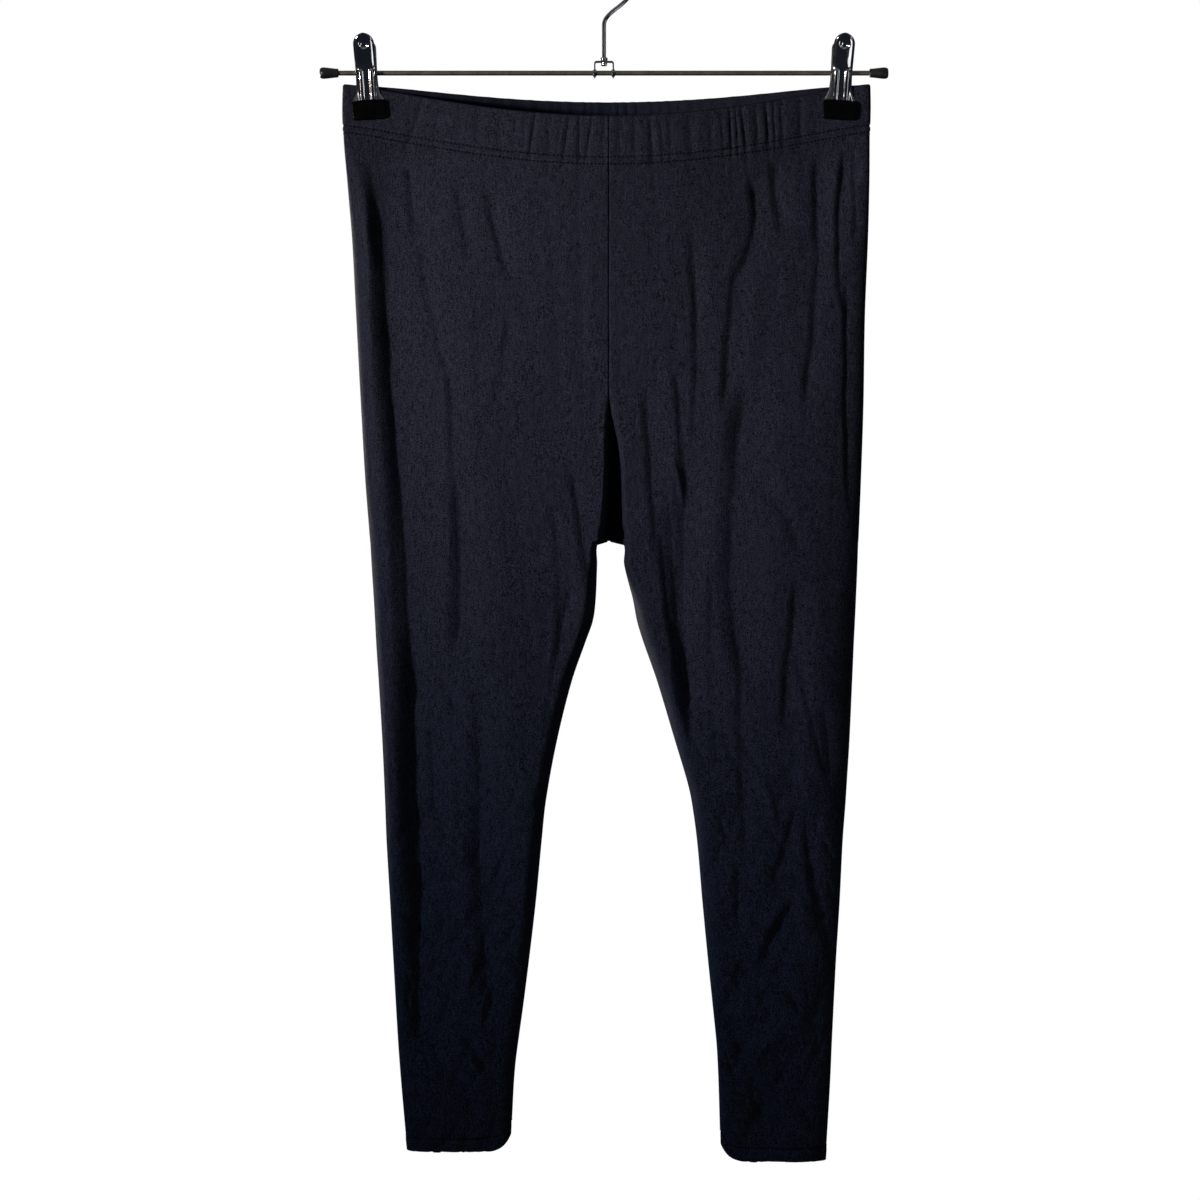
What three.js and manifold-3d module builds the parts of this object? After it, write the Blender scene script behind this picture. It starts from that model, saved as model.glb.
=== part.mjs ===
// Ankle-length leggings of black stretch jersey, hung by the waistband from a metal trouser hanger with two clips.
// Millimetres, +Z up, the front faces -Y. The origin is the inside of the hook's crown, where it hangs on a rail.
// Right and left are the wearer's: the right leg is on the -X side. "down" is a distance below the waistband's top
// edge at the side folds, and "out" is a distance sideways from the centre seam.
import * as THREE from "three";
import Module from "manifold-3d";
import { mergeVertices } from "three/addons/utils/BufferGeometryUtils.js";

const wasm = await Module();
wasm.setup();

// Driving dimensions of the hanger
const HANGER_WIDTH = 455;
const ROD_RADIUS = 2;
const ROD_Z = -98;
const HOOK_WIRE_RADIUS = 1.65;
const HOOK_RADIUS = 24.4;
const CLIP_OUT = 190;
const CLIP_TILT = THREE.MathUtils.degToRad(4);
const FIT_GAP = 0.3;

// Driving dimensions of the garment
const CENTRE_X = 4;
const BAND_TOP_Z = -107;
const BAND_HEIGHT = 40;
const BAND_WALL = 3;
const BAND_PROUD = 0.5;
const CLOTH_WALL = 1.4;
const SEAM_GAP = 0.3;
const CROTCH_DOWN = 365;
const HEM_HEIGHT = 12;
const HEM_WALL = 2.2;
const HEM_PROUD = 0.4;
const FRONT_SAG = 27;
const BACK_SAG = 14;
const SAG_ENDS_DOWN = 300;
const HEM_LIFT = 14;
const CLIP_SHARE = 0.81;

const CLOTH = { color: 0x1c1c22, roughness: 0.6, metalness: 0 };
const CHROME = { color: 0xb8b8bc, roughness: 0.15, metalness: 1 };
const BLACK_PLASTIC = { color: 0x0b0b0b, roughness: 0.4, metalness: 0 };

const named = (columns, rows) =>
  rows.map((row) => Object.fromEntries(columns.map((name, i) => [name, row[i]])));

// The outer and inner edge of each hanging leg, seen from the front. The inner edge leaves the centre seam at the
// crotch. The two legs hang a little differently.
const EDGES = {
  right: named(["down", "outer", "inner"], [
    [0, 212.5, 0],
    [40, 212.5, 0],
    [77, 209.5, 0],
    [125, 205.5, 0],
    [173, 203, 0],
    [257, 198.5, 0],
    [317, 195, 0],
    [365, 191.2, 0],
    [370, 191, 8.6],
    [384, 190, 9.4],
    [412, 188.2, 10.6],
    [429, 187.2, 12.8],
    [445, 186.4, 18.4],
    [477, 184.3, 29.6],
    [525, 181.4, 41.6],
    [573, 179.2, 50.4],
    [605, 178, 53.8],
    [653, 175.2, 58.4],
    [701, 172.5, 64],
    [765, 168.8, 72],
    [797, 166.4, 75.2],
    [840, 162.6, 77.4],
    [856, 161, 78],
  ]),
  left: named(["down", "outer", "inner"], [
    [0, 208.6, 0],
    [40, 208.6, 0],
    [77, 208.4, 0],
    [125, 207.2, 0],
    [185, 204.8, 0],
    [257, 203.6, 0],
    [317, 201.6, 0],
    [365, 199.6, 0],
    [370, 199.4, 10.8],
    [384, 198.8, 12],
    [412, 197.6, 19.2],
    [429, 196.8, 22.4],
    [445, 196, 27.2],
    [477, 194.6, 38.4],
    [525, 192.4, 52.8],
    [557, 190.4, 62.4],
    [573, 189.4, 66],
    [605, 187, 70.4],
    [653, 184.6, 74.6],
    [701, 181.6, 79.2],
    [765, 178.4, 85.6],
    [797, 177, 87.2],
    [848, 174, 88.6],
    [864, 173, 89],
  ]),
};

// How far the cloth stands from the hanging plane. half: of each face beside the side fold. bow: added at the centre,
// where the waist gapes. turn and in_turn: the widths over which a face rounds off into the side fold, and into the
// inner edge. seam: how far behind the plane the inseam runs.
const DEPTHS = named(["down", "half", "bow", "turn", "in_turn", "seam"], [
  [0, 2.8, 20, 3, 6, 14],
  [40, 2.8, 20, 3, 6, 14],
  [62, 4.6, 19, 8, 6, 14],
  [92, 8, 17, 18, 6, 14],
  [135, 12.5, 13, 34, 6, 14],
  [200, 17, 9, 52, 6, 14],
  [280, 21, 5, 70, 6, 14],
  [365, 25, 1.5, 84, 7, 14],
  [390, 25.6, 1, 84, 11, 12],
  [430, 26, 0, 84, 22, 9],
  [500, 25, 0, 70, 34, 3],
  [600, 23, 0, 60, 40, 0],
  [700, 20.5, 0, 50, 38, 0],
  [800, 17.5, 0, 42, 32, 0],
  [864, 15.5, 0, 36, 28, 0],
]);

// How far from the centre seam the front lies folded back, in the wedge above the crotch.
const WEDGE = named(["down", "right", "left"], [
  [0, 0, 0],
  [235, 0, 0],
  [262, 0, 1.6],
  [282, 0, 5.2],
  [302, 0.6, 8],
  [320, 2, 9.2],
  [337, 4, 9.8],
  [352, 6.4, 10.4],
  [365, 8.2, 10.9],
  [370, 0, 0],
  [400, 0, 0],
  [864, 0, 0],
]);

const LEG_LENGTH = { right: 840, left: 848 };
const LEVELS = [
  BAND_HEIGHT + SEAM_GAP, 54, 76, 104, 136, 170, 206, 242, 276, 306, 332, 350, CROTCH_DOWN,
  370, 384, 402, 424, 452, 486, 524, 562, 602, 644, 686, 728, 766, 802,
];
const FRONT_COLUMNS = 19;
const BACK_COLUMNS = 15;

// The largest folds, each a soft trough whose line runs through three places. depth is inwards, so a ridge has a
// negative one. width is half of its width, measured sideways.
const FOLD_COLUMNS = ["face", "out1", "down1", "out2", "down2", "out3", "down3", "width", "depth"];
const FOLDS = {
  right: named(FOLD_COLUMNS, [
    ["front", 189, 46, 170, 270, 160, 600, 8, 12],
    ["front", 161, 47, 156, 76, 152, 130, 7, 2.5],
    ["front", 97, 66, 92, 100, 77, 146, 7, 2],
    ["front", 125, 255, 122.5, 340, 122, 460, 8, 3.5],
    ["front", 108, 515, 101, 620, 97, 745, 9, 4.5],
    ["front", 135, 742, 119, 772, 96, 812, 8, 3],
    ["front", 40, 330, 36, 400, 60, 520, 12, -2],
    ["back", 186, 60, 170, 330, 160, 640, 9, 7],
    ["back", 120, 60, 110, 190, 118, 330, 9, 3],
    ["back", 60, 80, 66, 180, 52, 300, 9, 2.5],
    ["back", 120, 400, 108, 520, 112, 660, 9, 4],
    ["back", 100, 690, 118, 740, 136, 790, 8, 3],
  ]),
  left: named(FOLD_COLUMNS, [
    ["front", 188, 46, 188.5, 190, 191, 350, 6, 7],
    ["front", 113, 62, 108, 108, 96, 156, 7, 3],
    ["front", 165, 60, 166, 100, 171, 150, 6, 2.5],
    ["front", 112, 235, 99, 330, 109, 560, 9, 4.5],
    ["front", 158, 236, 154, 300, 136, 340, 7, 2.5],
    ["front", 53, 305, 59, 400, 68, 560, 8, 5],
    ["front", 141, 405, 143, 460, 137, 520, 8, 3],
    ["front", 160, 590, 162, 640, 174, 700, 7, 3],
    ["front", 146, 655, 134, 680, 120, 710, 7, 3.5],
    ["front", 90, 750, 114, 786, 128, 840, 9, 4.5],
    ["back", 184, 56, 180, 250, 176, 480, 8, 6.5],
    ["back", 130, 60, 140, 200, 126, 340, 9, 3],
    ["back", 70, 70, 60, 200, 72, 330, 9, 2.5],
    ["back", 128, 390, 116, 520, 124, 680, 9, 4.5],
    ["back", 150, 700, 130, 750, 112, 800, 8, 3],
  ]),
};

// The puckers that the elastic draws into the waistband. lean: how much further out the pucker's lower end lies.
const PUCKER_COLUMNS = ["face", "out", "lean", "width", "depth"];
const PUCKERS = {
  right: named(PUCKER_COLUMNS, [
    ["front", 4, 1, 3.5, 0.5],
    ["front", 13, 6, 4, 1],
    ["front", 23, 1, 4, 1],
    ["front", 31, 6, 4, 1.2],
    ["front", 46, 2, 4, 0.5],
    ["front", 58, 6, 4, 1.2],
    ["front", 72, 2, 5, 0.5],
    ["front", 87, -2, 5, 0.6],
    ["front", 103, 3, 5, 0.6],
    ["front", 119, 2, 5, 0.5],
    ["front", 134, 2, 5, 0.6],
    ["front", 152, 4, 4, 0.7],
    ["back", 9, 0, 4, 0.9],
    ["back", 21, 2, 4, 0.8],
    ["back", 34, -2, 4, 1],
    ["back", 48, 2, 4, 0.8],
    ["back", 63, 1, 4, 1],
    ["back", 79, 2, 5, 0.8],
    ["back", 97, -2, 5, 0.9],
    ["back", 118, 2, 5, 0.7],
    ["back", 138, 1, 5, 0.6],
    ["back", 157, 2, 5, 0.6],
  ]),
  left: named(PUCKER_COLUMNS, [
    ["front", 8, 1, 4, 0.5],
    ["front", 20, 1, 4, 0.6],
    ["front", 33, 2, 4, 1],
    ["front", 48, 1, 4, 0.6],
    ["front", 64, 2, 4, 0.7],
    ["front", 80, 2, 4, 0.6],
    ["front", 96, 2, 3.5, 1.1],
    ["front", 105, 5, 3.5, 1.2],
    ["front", 117, 2, 4, 0.8],
    ["front", 125, 3, 3.5, 1.2],
    ["front", 137, 2, 4, 0.8],
    ["front", 152, 2, 4, 0.6],
    ["back", 8, 1, 4, 0.9],
    ["back", 19, 2, 4, 1.1],
    ["back", 32, -2, 4, 0.9],
    ["back", 46, 3, 4, 1],
    ["back", 62, 1, 4, 1],
    ["back", 80, 2, 4, 0.8],
    ["back", 100, 1, 5, 0.9],
    ["back", 121, 2, 5, 0.7],
    ["back", 143, 2, 5, 0.6],
  ]),
};

const clamp01 = (x) => Math.min(1, Math.max(0, x));
const smooth = (from, to, x) => {
  const t = clamp01((x - from) / (to - from));
  return t * t * (3 - 2 * t);
};

// A column of a table at any level, as a cubic that has the slope of the neighbouring rows at each row.
function level(rows, column, down) {
  const last = rows.length - 1;
  let i = rows.findIndex((row) => row.down > down) - 1;
  if (i < 0) i = down < rows[1].down ? 0 : last - 1;
  const slope = (k) => {
    const a = rows[Math.max(0, k - 1)];
    const b = rows[Math.min(last, k + 1)];
    return (b[column] - a[column]) / (b.down - a.down);
  };
  const step = rows[i + 1].down - rows[i].down;
  const t = clamp01((down - rows[i].down) / step);
  const h = t * t * (3 - 2 * t);
  const start = rows[i][column] * (1 - h) + rows[i + 1][column] * h;
  return start + step * t * (1 - t) * (slope(i) * (1 - t) - slope(i + 1) * t);
}

// How far out a fold's line lies at a level: the parabola through its three places.
function foldOut(fold, down) {
  const { out1, down1, out2, down2, out3, down3 } = fold;
  const a = ((down - down2) * (down - down3)) / ((down1 - down2) * (down1 - down3));
  const b = ((down - down1) * (down - down3)) / ((down2 - down1) * (down2 - down3));
  const c = ((down - down1) * (down - down2)) / ((down3 - down1) * (down3 - down2));
  return out1 * a + out2 * b + out3 * c;
}

// The dent that the folds of one face make at a place on it.
function foldDent(side, face, out, down) {
  let dent = 0;
  for (const fold of FOLDS[side]) {
    if (fold.face !== face || down <= fold.down1 || down >= fold.down3) continue;
    const along = (down - fold.down1) / (fold.down3 - fold.down1);
    const ends = Math.min(1, 2.2 * Math.sin(Math.PI * along));
    const across = (out - foldOut(fold, down)) / fold.width;
    dent += fold.depth * ends * Math.exp(-across * across);
  }
  return dent;
}

// The share of the width, from the inner edge to the side fold and back, for a place u round the panel: 0 at the front
// seam, 0.5 at the side fold and 1 at the back seam. The columns stand closer together at both edges.
function widthShare(u) {
  const t = u <= 0.5 ? 2 * u : 2 * (1 - u);
  return 0.45 * t + 0.55 * 0.5 * (1 - Math.cos(Math.PI * t));
}

// How far a face has risen at a distance from its edge, from 0 at the edge to 1 past the turn: a quarter of an ellipse.
function quarterRound(distance, turn) {
  const short = 1 - clamp01(distance / turn);
  return Math.sqrt(1 - short * short);
}

// A point of the cloth's outer surface. Each face is flat across and rounds off at the side fold, and at the inner
// edge once the legs part: closing goes from 0 on the hips to 1 in the legs. reach keeps the step of the inner edge at
// the crotch to the columns beside it.
function panelPoint(side, down, u, share = widthShare(u)) {
  const mirror = side === "right" ? -1 : 1;
  const face = u <= 0.5 ? "front" : "back";
  const outer = level(EDGES[side], "outer", down);
  const inner = Math.max(0, level(EDGES[side], "inner", down));
  const reach = 8 - 7 * smooth(CROTCH_DOWN + 15, CROTCH_DOWN + 115, down);
  const out = outer * share + inner * Math.pow(1 - share, reach);
  const parting = smooth(CROTCH_DOWN - 125, CROTCH_DOWN - 45, down);
  const closing = face === "front" ? parting : smooth(CROTCH_DOWN - 34, CROTCH_DOWN, down);
  const foldedBack = face === "front" ? level(WEDGE, side, down) : 0;
  const sideRound = quarterRound(outer - out, level(DEPTHS, "turn", down));
  const legRound = quarterRound(Math.max(0, out - inner - foldedBack), level(DEPTHS, "in_turn", down));
  const round = sideRound * (1 - closing * (1 - legRound));
  const bowed = Math.pow(Math.max(0, 1 - Math.pow(share / CLIP_SHARE, 2)), 1.3);
  const stand = level(DEPTHS, "half", down) + level(DEPTHS, "bow", down) * bowed - foldDent(side, face, out, down);
  const plane = level(DEPTHS, "seam", down) * Math.pow(1 - share, 6) * parting;
  const y = plane * (1 - round) + (face === "front" ? -stand : stand) * round;

  const sag = (face === "front" ? FRONT_SAG : BACK_SAG) * Math.pow(1 - share * share, 1.4);
  const lift = HEM_LIFT * Math.exp(-share / 0.07) * smooth(LEG_LENGTH[side] - 110, LEG_LENGTH[side], down);
  const z = BAND_TOP_Z - down - sag * (1 - smooth(BAND_HEIGHT, SAG_ENDS_DOWN, down)) + lift;
  return new THREE.Vector3(CENTRE_X + mirror * Math.max(SEAM_GAP / 2, out), y, z);
}

// The outward direction of the cloth there, square to it along both of its directions. On the centre seams it has no
// part sideways, so that the two halves stay apart.
function panelNormal(side, down, u, shareOf = widthShare) {
  const du = 0.003;
  const dd = 1.5;
  const closed = down >= CROTCH_DOWN;
  const wrap = (x) => (closed ? (x + 1) % 1 : clamp01(x));
  const at = (d, v) => panelPoint(side, d, v, shareOf(v));
  const across = at(down, wrap(u + du)).sub(at(down, wrap(u - du)));
  const upper = closed ? Math.max(CROTCH_DOWN, down - dd) : down - dd;
  const along = at(down + dd, u).sub(at(upper, u));
  const normal = across.cross(along).multiplyScalar(side === "right" ? 1 : -1);
  if (!closed && (u === 0 || u === 1)) normal.x = 0;
  return normal.normalize();
}

// A closed wall on a grid of outer points and a grid of inner ones. Where the last rows close round, from the row
// ringFrom on, the first and last column are the same points.
function wallGeometry(outer, inner, ringFrom = Infinity) {
  const rows = outer.length;
  const columns = outer[0].length;
  const positions = [];
  const quad = (a, b, c, d) => {
    for (const p of [a, b, c, a, c, d]) positions.push(p.x, p.y, p.z);
  };
  for (let r = 0; r + 1 < rows; r++) {
    for (let c = 0; c + 1 < columns; c++) {
      quad(outer[r][c], outer[r + 1][c], outer[r + 1][c + 1], outer[r][c + 1]);
      quad(inner[r][c], inner[r][c + 1], inner[r + 1][c + 1], inner[r + 1][c]);
    }
    if (r < ringFrom) {
      const e = columns - 1;
      quad(outer[r][0], inner[r][0], inner[r + 1][0], outer[r + 1][0]);
      quad(outer[r][e], outer[r + 1][e], inner[r + 1][e], inner[r][e]);
    }
  }
  const b = rows - 1;
  for (let c = 0; c + 1 < columns; c++) {
    quad(outer[0][c], outer[0][c + 1], inner[0][c + 1], inner[0][c]);
    quad(outer[b][c], inner[b][c], inner[b][c + 1], outer[b][c + 1]);
  }
  const geometry = new THREE.BufferGeometry();
  geometry.setAttribute("position", new THREE.Float32BufferAttribute(positions, 3));
  geometry.computeVertexNormals();
  return geometry;
}

function solidOf(geometry) {
  const bare = new THREE.BufferGeometry();
  const source = geometry.index ? geometry.toNonIndexed() : geometry;
  bare.setAttribute("position", source.getAttribute("position"));
  const merged = mergeVertices(bare, 1e-3);
  return new wasm.Manifold(new wasm.Mesh({
    numProp: 3,
    vertProperties: merged.attributes.position.array,
    triVerts: new Uint32Array(merged.index.array),
  }));
}

function geometryOf(solid) {
  const mesh = solid.getMesh();
  const geometry = new THREE.BufferGeometry();
  geometry.setAttribute("position", new THREE.BufferAttribute(Float32Array.from(mesh.vertProperties), 3));
  geometry.setIndex(new THREE.BufferAttribute(Uint32Array.from(mesh.triVerts), 1));
  geometry.computeVertexNormals();
  return geometry;
}

const group = new THREE.Group();
group.name = "leggings_on_hanger";

function add(name, geometry, finish, parent = group) {
  const mesh = new THREE.Mesh(geometry, new THREE.MeshStandardMaterial(finish));
  mesh.name = name;
  parent.add(mesh);
  return mesh;
}

// The places round a panel where its columns stand.
const PANEL_COLUMNS = [
  ...Array.from({ length: FRONT_COLUMNS }, (_, i) => (0.5 * i) / FRONT_COLUMNS),
  ...Array.from({ length: BACK_COLUMNS + 1 }, (_, i) => 0.5 + (0.5 * i) / BACK_COLUMNS),
];

// Rows of outer points, moved out by proud, and of inner points a wall's thickness further in.
function panelGrids(side, levels, wall, proud) {
  const outer = [];
  const inner = [];
  for (const down of levels) {
    const normals = PANEL_COLUMNS.map((u) => panelNormal(side, down, u));
    const points = PANEL_COLUMNS.map((u) => panelPoint(side, down, u));
    outer.push(points.map((p, i) => p.clone().addScaledVector(normals[i], proud)));
    inner.push(points.map((p, i) => p.clone().addScaledVector(normals[i], proud - wall)));
    if (down >= CROTCH_DOWN) {
      outer.at(-1)[points.length - 1] = outer.at(-1)[0];
      inner.at(-1)[points.length - 1] = inner.at(-1)[0];
    }
  }
  return { outer, inner };
}

// Each leg is one cut piece: front and back in one, sewn at the centre seams above the crotch and down the inseam.
function legPanel(side) {
  const levels = [...LEVELS, LEG_LENGTH[side]];
  const { outer, inner } = panelGrids(side, levels, CLOTH_WALL, 0);
  const ringFrom = levels.indexOf(CROTCH_DOWN);
  return orient(wallGeometry(outer, inner, ringFrom), side);
}

// The right-hand panel's columns run the other way round, so its faces are turned about.
function orient(geometry, side) {
  if (side === "left") return geometry;
  const p = geometry.getAttribute("position");
  for (let i = 0; i < p.count; i += 3) {
    const b = new THREE.Vector3().fromBufferAttribute(p, i + 1);
    const c = new THREE.Vector3().fromBufferAttribute(p, i + 2);
    p.setXYZ(i + 1, c.x, c.y, c.z);
    p.setXYZ(i + 2, b.x, b.y, b.z);
  }
  geometry.computeVertexNormals();
  return geometry;
}

// The hem is turned up inside and stitched, so it is a doubled edge that stands a little proud.
function hemRing(side) {
  const top = LEG_LENGTH[side] + SEAM_GAP;
  const levels = [top, top + HEM_HEIGHT];
  const { outer, inner } = panelGrids(side, levels, HEM_WALL, HEM_PROUD);
  return orient(wallGeometry(outer, inner, 0), side);
}

// The dent of the elastic's puckers in the waistband, strongest at mid height.
function puckerDent(side, face, out, down) {
  const height = Math.sin(Math.PI * clamp01(down / BAND_HEIGHT));
  let dent = 0;
  for (const pucker of PUCKERS[side]) {
    if (pucker.face !== face) continue;
    const across = (out - pucker.out - (pucker.lean * down) / BAND_HEIGHT) / pucker.width;
    dent += pucker.depth * (0.35 + 0.65 * height) * Math.exp(-across * across);
  }
  return dent;
}

// The waistband's columns stand evenly apart for the puckers, and closer at the side fold.
function bandShare(u) {
  const t = u <= 0.5 ? 2 * u : 2 * (1 - u);
  return 1 - Math.pow(1 - t, 1.3);
}

// Half of the waistband: the top of the leg panel turned down inside over flat elastic. Its outside is puckered and its
// inside is plain.
const BAND_COLUMNS = 124;
const BAND_LEVELS = [0, BAND_HEIGHT / 2, BAND_HEIGHT];
function bandHalf(side) {
  const mirror = side === "right" ? -1 : 1;
  const outer = [];
  const inner = [];
  for (const down of BAND_LEVELS) {
    outer.push([]);
    inner.push([]);
    for (let c = 0; c <= BAND_COLUMNS; c++) {
      const u = c / BAND_COLUMNS;
      const point = panelPoint(side, down, u, bandShare(u));
      const normal = panelNormal(side, Math.max(down, 2), u, bandShare);
      const face = u <= 0.5 ? "front" : "back";
      const dent = puckerDent(side, face, mirror * (point.x - CENTRE_X), down);
      outer.at(-1).push(point.clone().addScaledVector(normal, BAND_PROUD - dent));
      inner.at(-1).push(point.clone().addScaledVector(normal, BAND_PROUD - BAND_WALL));
    }
  }
  return orient(wallGeometry(outer, inner), side);
}

for (const side of ["right", "left"]) {
  add(`waistband_${side}`, bandHalf(side), CLOTH);
  add(`leg_${side}`, legPanel(side), CLOTH);
  add(`hem_${side}`, hemRing(side), CLOTH);
}

// The hanger's rod, with a tapered plastic cap pushed on each end.
const CAP_LENGTH = 15;
const CAP_BORE_DEPTH = 12;
const CAP_END_RADIUS = 4.6;
const CAP_MOUTH_RADIUS = 3.6;
const ROD_LENGTH = HANGER_WIDTH - 2 * (CAP_LENGTH - CAP_BORE_DEPTH) - 2 * FIT_GAP;
const rod = add("hanger_rod", new THREE.CylinderGeometry(ROD_RADIUS, ROD_RADIUS, ROD_LENGTH, 20), CHROME);
rod.rotation.z = Math.PI / 2;
rod.position.z = ROD_Z;

function capGeometry() {
  const bore = ROD_RADIUS + FIT_GAP;
  const profile = [
    [0, CAP_BORE_DEPTH],
    [bore, CAP_BORE_DEPTH],
    [bore, 0],
    [CAP_MOUTH_RADIUS, 0],
    [CAP_END_RADIUS, 0.72 * CAP_LENGTH],
    [0.9 * CAP_END_RADIUS, 0.92 * CAP_LENGTH],
    [0.55 * CAP_END_RADIUS, CAP_LENGTH],
    [0, CAP_LENGTH],
  ].map(([x, y]) => new THREE.Vector2(x, y));
  return new THREE.LatheGeometry(profile, 20);
}

for (const [side, mirror] of [["right", -1], ["left", 1]]) {
  const cap = add(`rod_cap_${side}`, capGeometry(), BLACK_PLASTIC);
  cap.rotation.z = (-mirror * Math.PI) / 2;
  cap.position.set(mirror * (HANGER_WIDTH / 2 - CAP_LENGTH), 0, ROD_Z);
}

// The stirrup is a bent strip: its two ears ride on the rod and its bridge carries the hook.
const STIRRUP_HALF = 8;
const STIRRUP_BRIDGE = 9.6;
const STIRRUP_DEPTH = 5;
const STIRRUP_STRIP = 1.2;
const STIRRUP_TAIL = 4;

function bored(solid, radius, length, rotation, position) {
  const bore = new THREE.CylinderGeometry(radius, radius, length, 20);
  bore.rotateX(rotation.x).rotateZ(rotation.z);
  bore.translate(position.x, position.y, position.z);
  return solid.subtract(solidOf(bore));
}

function stirrupGeometry() {
  const shape = new THREE.Shape();
  shape.moveTo(-STIRRUP_HALF, -STIRRUP_TAIL);
  shape.lineTo(-STIRRUP_HALF + STIRRUP_STRIP, -STIRRUP_TAIL);
  shape.lineTo(-STIRRUP_HALF + STIRRUP_STRIP, STIRRUP_BRIDGE - STIRRUP_STRIP);
  shape.lineTo(STIRRUP_HALF - STIRRUP_STRIP, STIRRUP_BRIDGE - STIRRUP_STRIP);
  shape.lineTo(STIRRUP_HALF - STIRRUP_STRIP, -STIRRUP_TAIL);
  shape.lineTo(STIRRUP_HALF, -STIRRUP_TAIL);
  shape.lineTo(STIRRUP_HALF, STIRRUP_BRIDGE - 1);
  shape.lineTo(STIRRUP_HALF - 1, STIRRUP_BRIDGE);
  shape.lineTo(-STIRRUP_HALF + 1, STIRRUP_BRIDGE);
  shape.lineTo(-STIRRUP_HALF, STIRRUP_BRIDGE - 1);
  const strip = new THREE.ExtrudeGeometry(shape, { depth: STIRRUP_DEPTH, bevelEnabled: false });
  strip.translate(0, 0, -STIRRUP_DEPTH / 2);
  strip.rotateX(Math.PI / 2);
  let solid = solidOf(strip);
  solid = bored(solid, ROD_RADIUS + FIT_GAP, 3 * STIRRUP_HALF, { x: 0, z: Math.PI / 2 }, { x: 0, y: 0, z: 0 });
  solid = bored(solid, HOOK_WIRE_RADIUS + FIT_GAP, 6, { x: Math.PI / 2, z: 0 }, { x: 0, y: 0, z: STIRRUP_BRIDGE });
  return geometryOf(solid);
}
add("stirrup", stirrupGeometry(), CHROME).position.z = ROD_Z;

// The hook is bent from one wire: a straight stem, a swan neck to the side, and a round crown over the rail. A collar
// above the bridge and a rivet head below it hold it in the stirrup.
const HOOK_CENTRE_Z = HOOK_WIRE_RADIUS - HOOK_RADIUS;
const HOOK_ENTRY = THREE.MathUtils.degToRad(-43);
const HOOK_END = THREE.MathUtils.degToRad(196);
const STEM_TOP_Z = -60;
const BRIDGE_Z = ROD_Z + STIRRUP_BRIDGE;

function hookGeometry() {
  const crown = (angle) =>
    new THREE.Vector3(HOOK_RADIUS * Math.cos(angle), 0, HOOK_CENTRE_Z + HOOK_RADIUS * Math.sin(angle));
  const entry = crown(HOOK_ENTRY);
  const heading = new THREE.Vector3(-Math.sin(HOOK_ENTRY), 0, Math.cos(HOOK_ENTRY));
  const foot = new THREE.Vector3(0, 0, BRIDGE_Z - 3);
  const neck = new THREE.CubicBezierCurve3(
    new THREE.Vector3(0, 0, STEM_TOP_Z),
    new THREE.Vector3(0, 0, STEM_TOP_Z + 9),
    entry.clone().addScaledVector(heading, -11),
    entry,
  );
  const NECK_STEPS = 8;
  const CROWN_STEPS = 26;
  const line = [foot, new THREE.Vector3(0, 0, (BRIDGE_Z + STEM_TOP_Z) / 2), ...neck.getPoints(NECK_STEPS)];
  for (let i = 1; i <= CROWN_STEPS; i++) {
    line.push(crown(HOOK_ENTRY + ((HOOK_END - HOOK_ENTRY) * i) / CROWN_STEPS));
  }
  const section = new THREE.Shape();
  section.absarc(0, 0, HOOK_WIRE_RADIUS, 0, 2 * Math.PI);
  const wire = new THREE.ExtrudeGeometry(section, {
    extrudePath: new THREE.CatmullRomCurve3(line, false, "centripetal"),
    steps: 44,
    curveSegments: 4,
    bevelEnabled: false,
  });
  const ring = (radius, low, high) => {
    const disc = new THREE.CylinderGeometry(radius * 0.8, radius, high - low, 16);
    disc.rotateX(Math.PI / 2);
    disc.translate(0, 0, (low + high) / 2);
    return solidOf(disc);
  };
  const collar = ring(2.9, BRIDGE_Z + FIT_GAP, BRIDGE_Z + 3);
  const rivet = ring(2.6, BRIDGE_Z - 4, BRIDGE_Z - STIRRUP_STRIP - FIT_GAP);
  return geometryOf(solidOf(wire).add(collar).add(rivet));
}
add("hook", hookGeometry(), CHROME);

// A clip is two pressed plates that pivot on the rod, a coil spring between them, and a dipped plastic pad on each jaw.
// Its own frame has the rod's axis at the origin. The front plate is built, and the back one is its mirror image.
const PLATE_TOP = 29.6;
const PLATE_END = -22.2;
const PLATE_WALL = 1.1;
const PAD_END = -38.2;
const PAD_HALF = 13.4;
const PAD_INSIDE = BAND_PROUD + 2.8 + FIT_GAP;
const PAD_THICKNESS = 3.8;
const EAR_BORE = 2.9;

// The plate's levels: z, how far its outer face stands from the rod's plane, and half of its width.
const PLATE_LEVELS = named(["z", "stand", "half"], [
  [PLATE_TOP, 19.2, 2.6],
  [PLATE_TOP - 1.4, 19, 5],
  [PLATE_TOP - 4, 18.2, 7.2],
  [PLATE_TOP - 8, 16.6, 8.4],
  [12, 12.6, 8.4],
  [4, 8.8, 8.4],
  [-4, 7.4, 8.4],
  [-12, 7, 8.8],
  [-17, 6.9, 10],
  [PLATE_END, 6.8, 13.2],
]);
const PLATE_COLUMNS = [-1, -0.72, -0.4, 0, 0.4, 0.72, 1];

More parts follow.
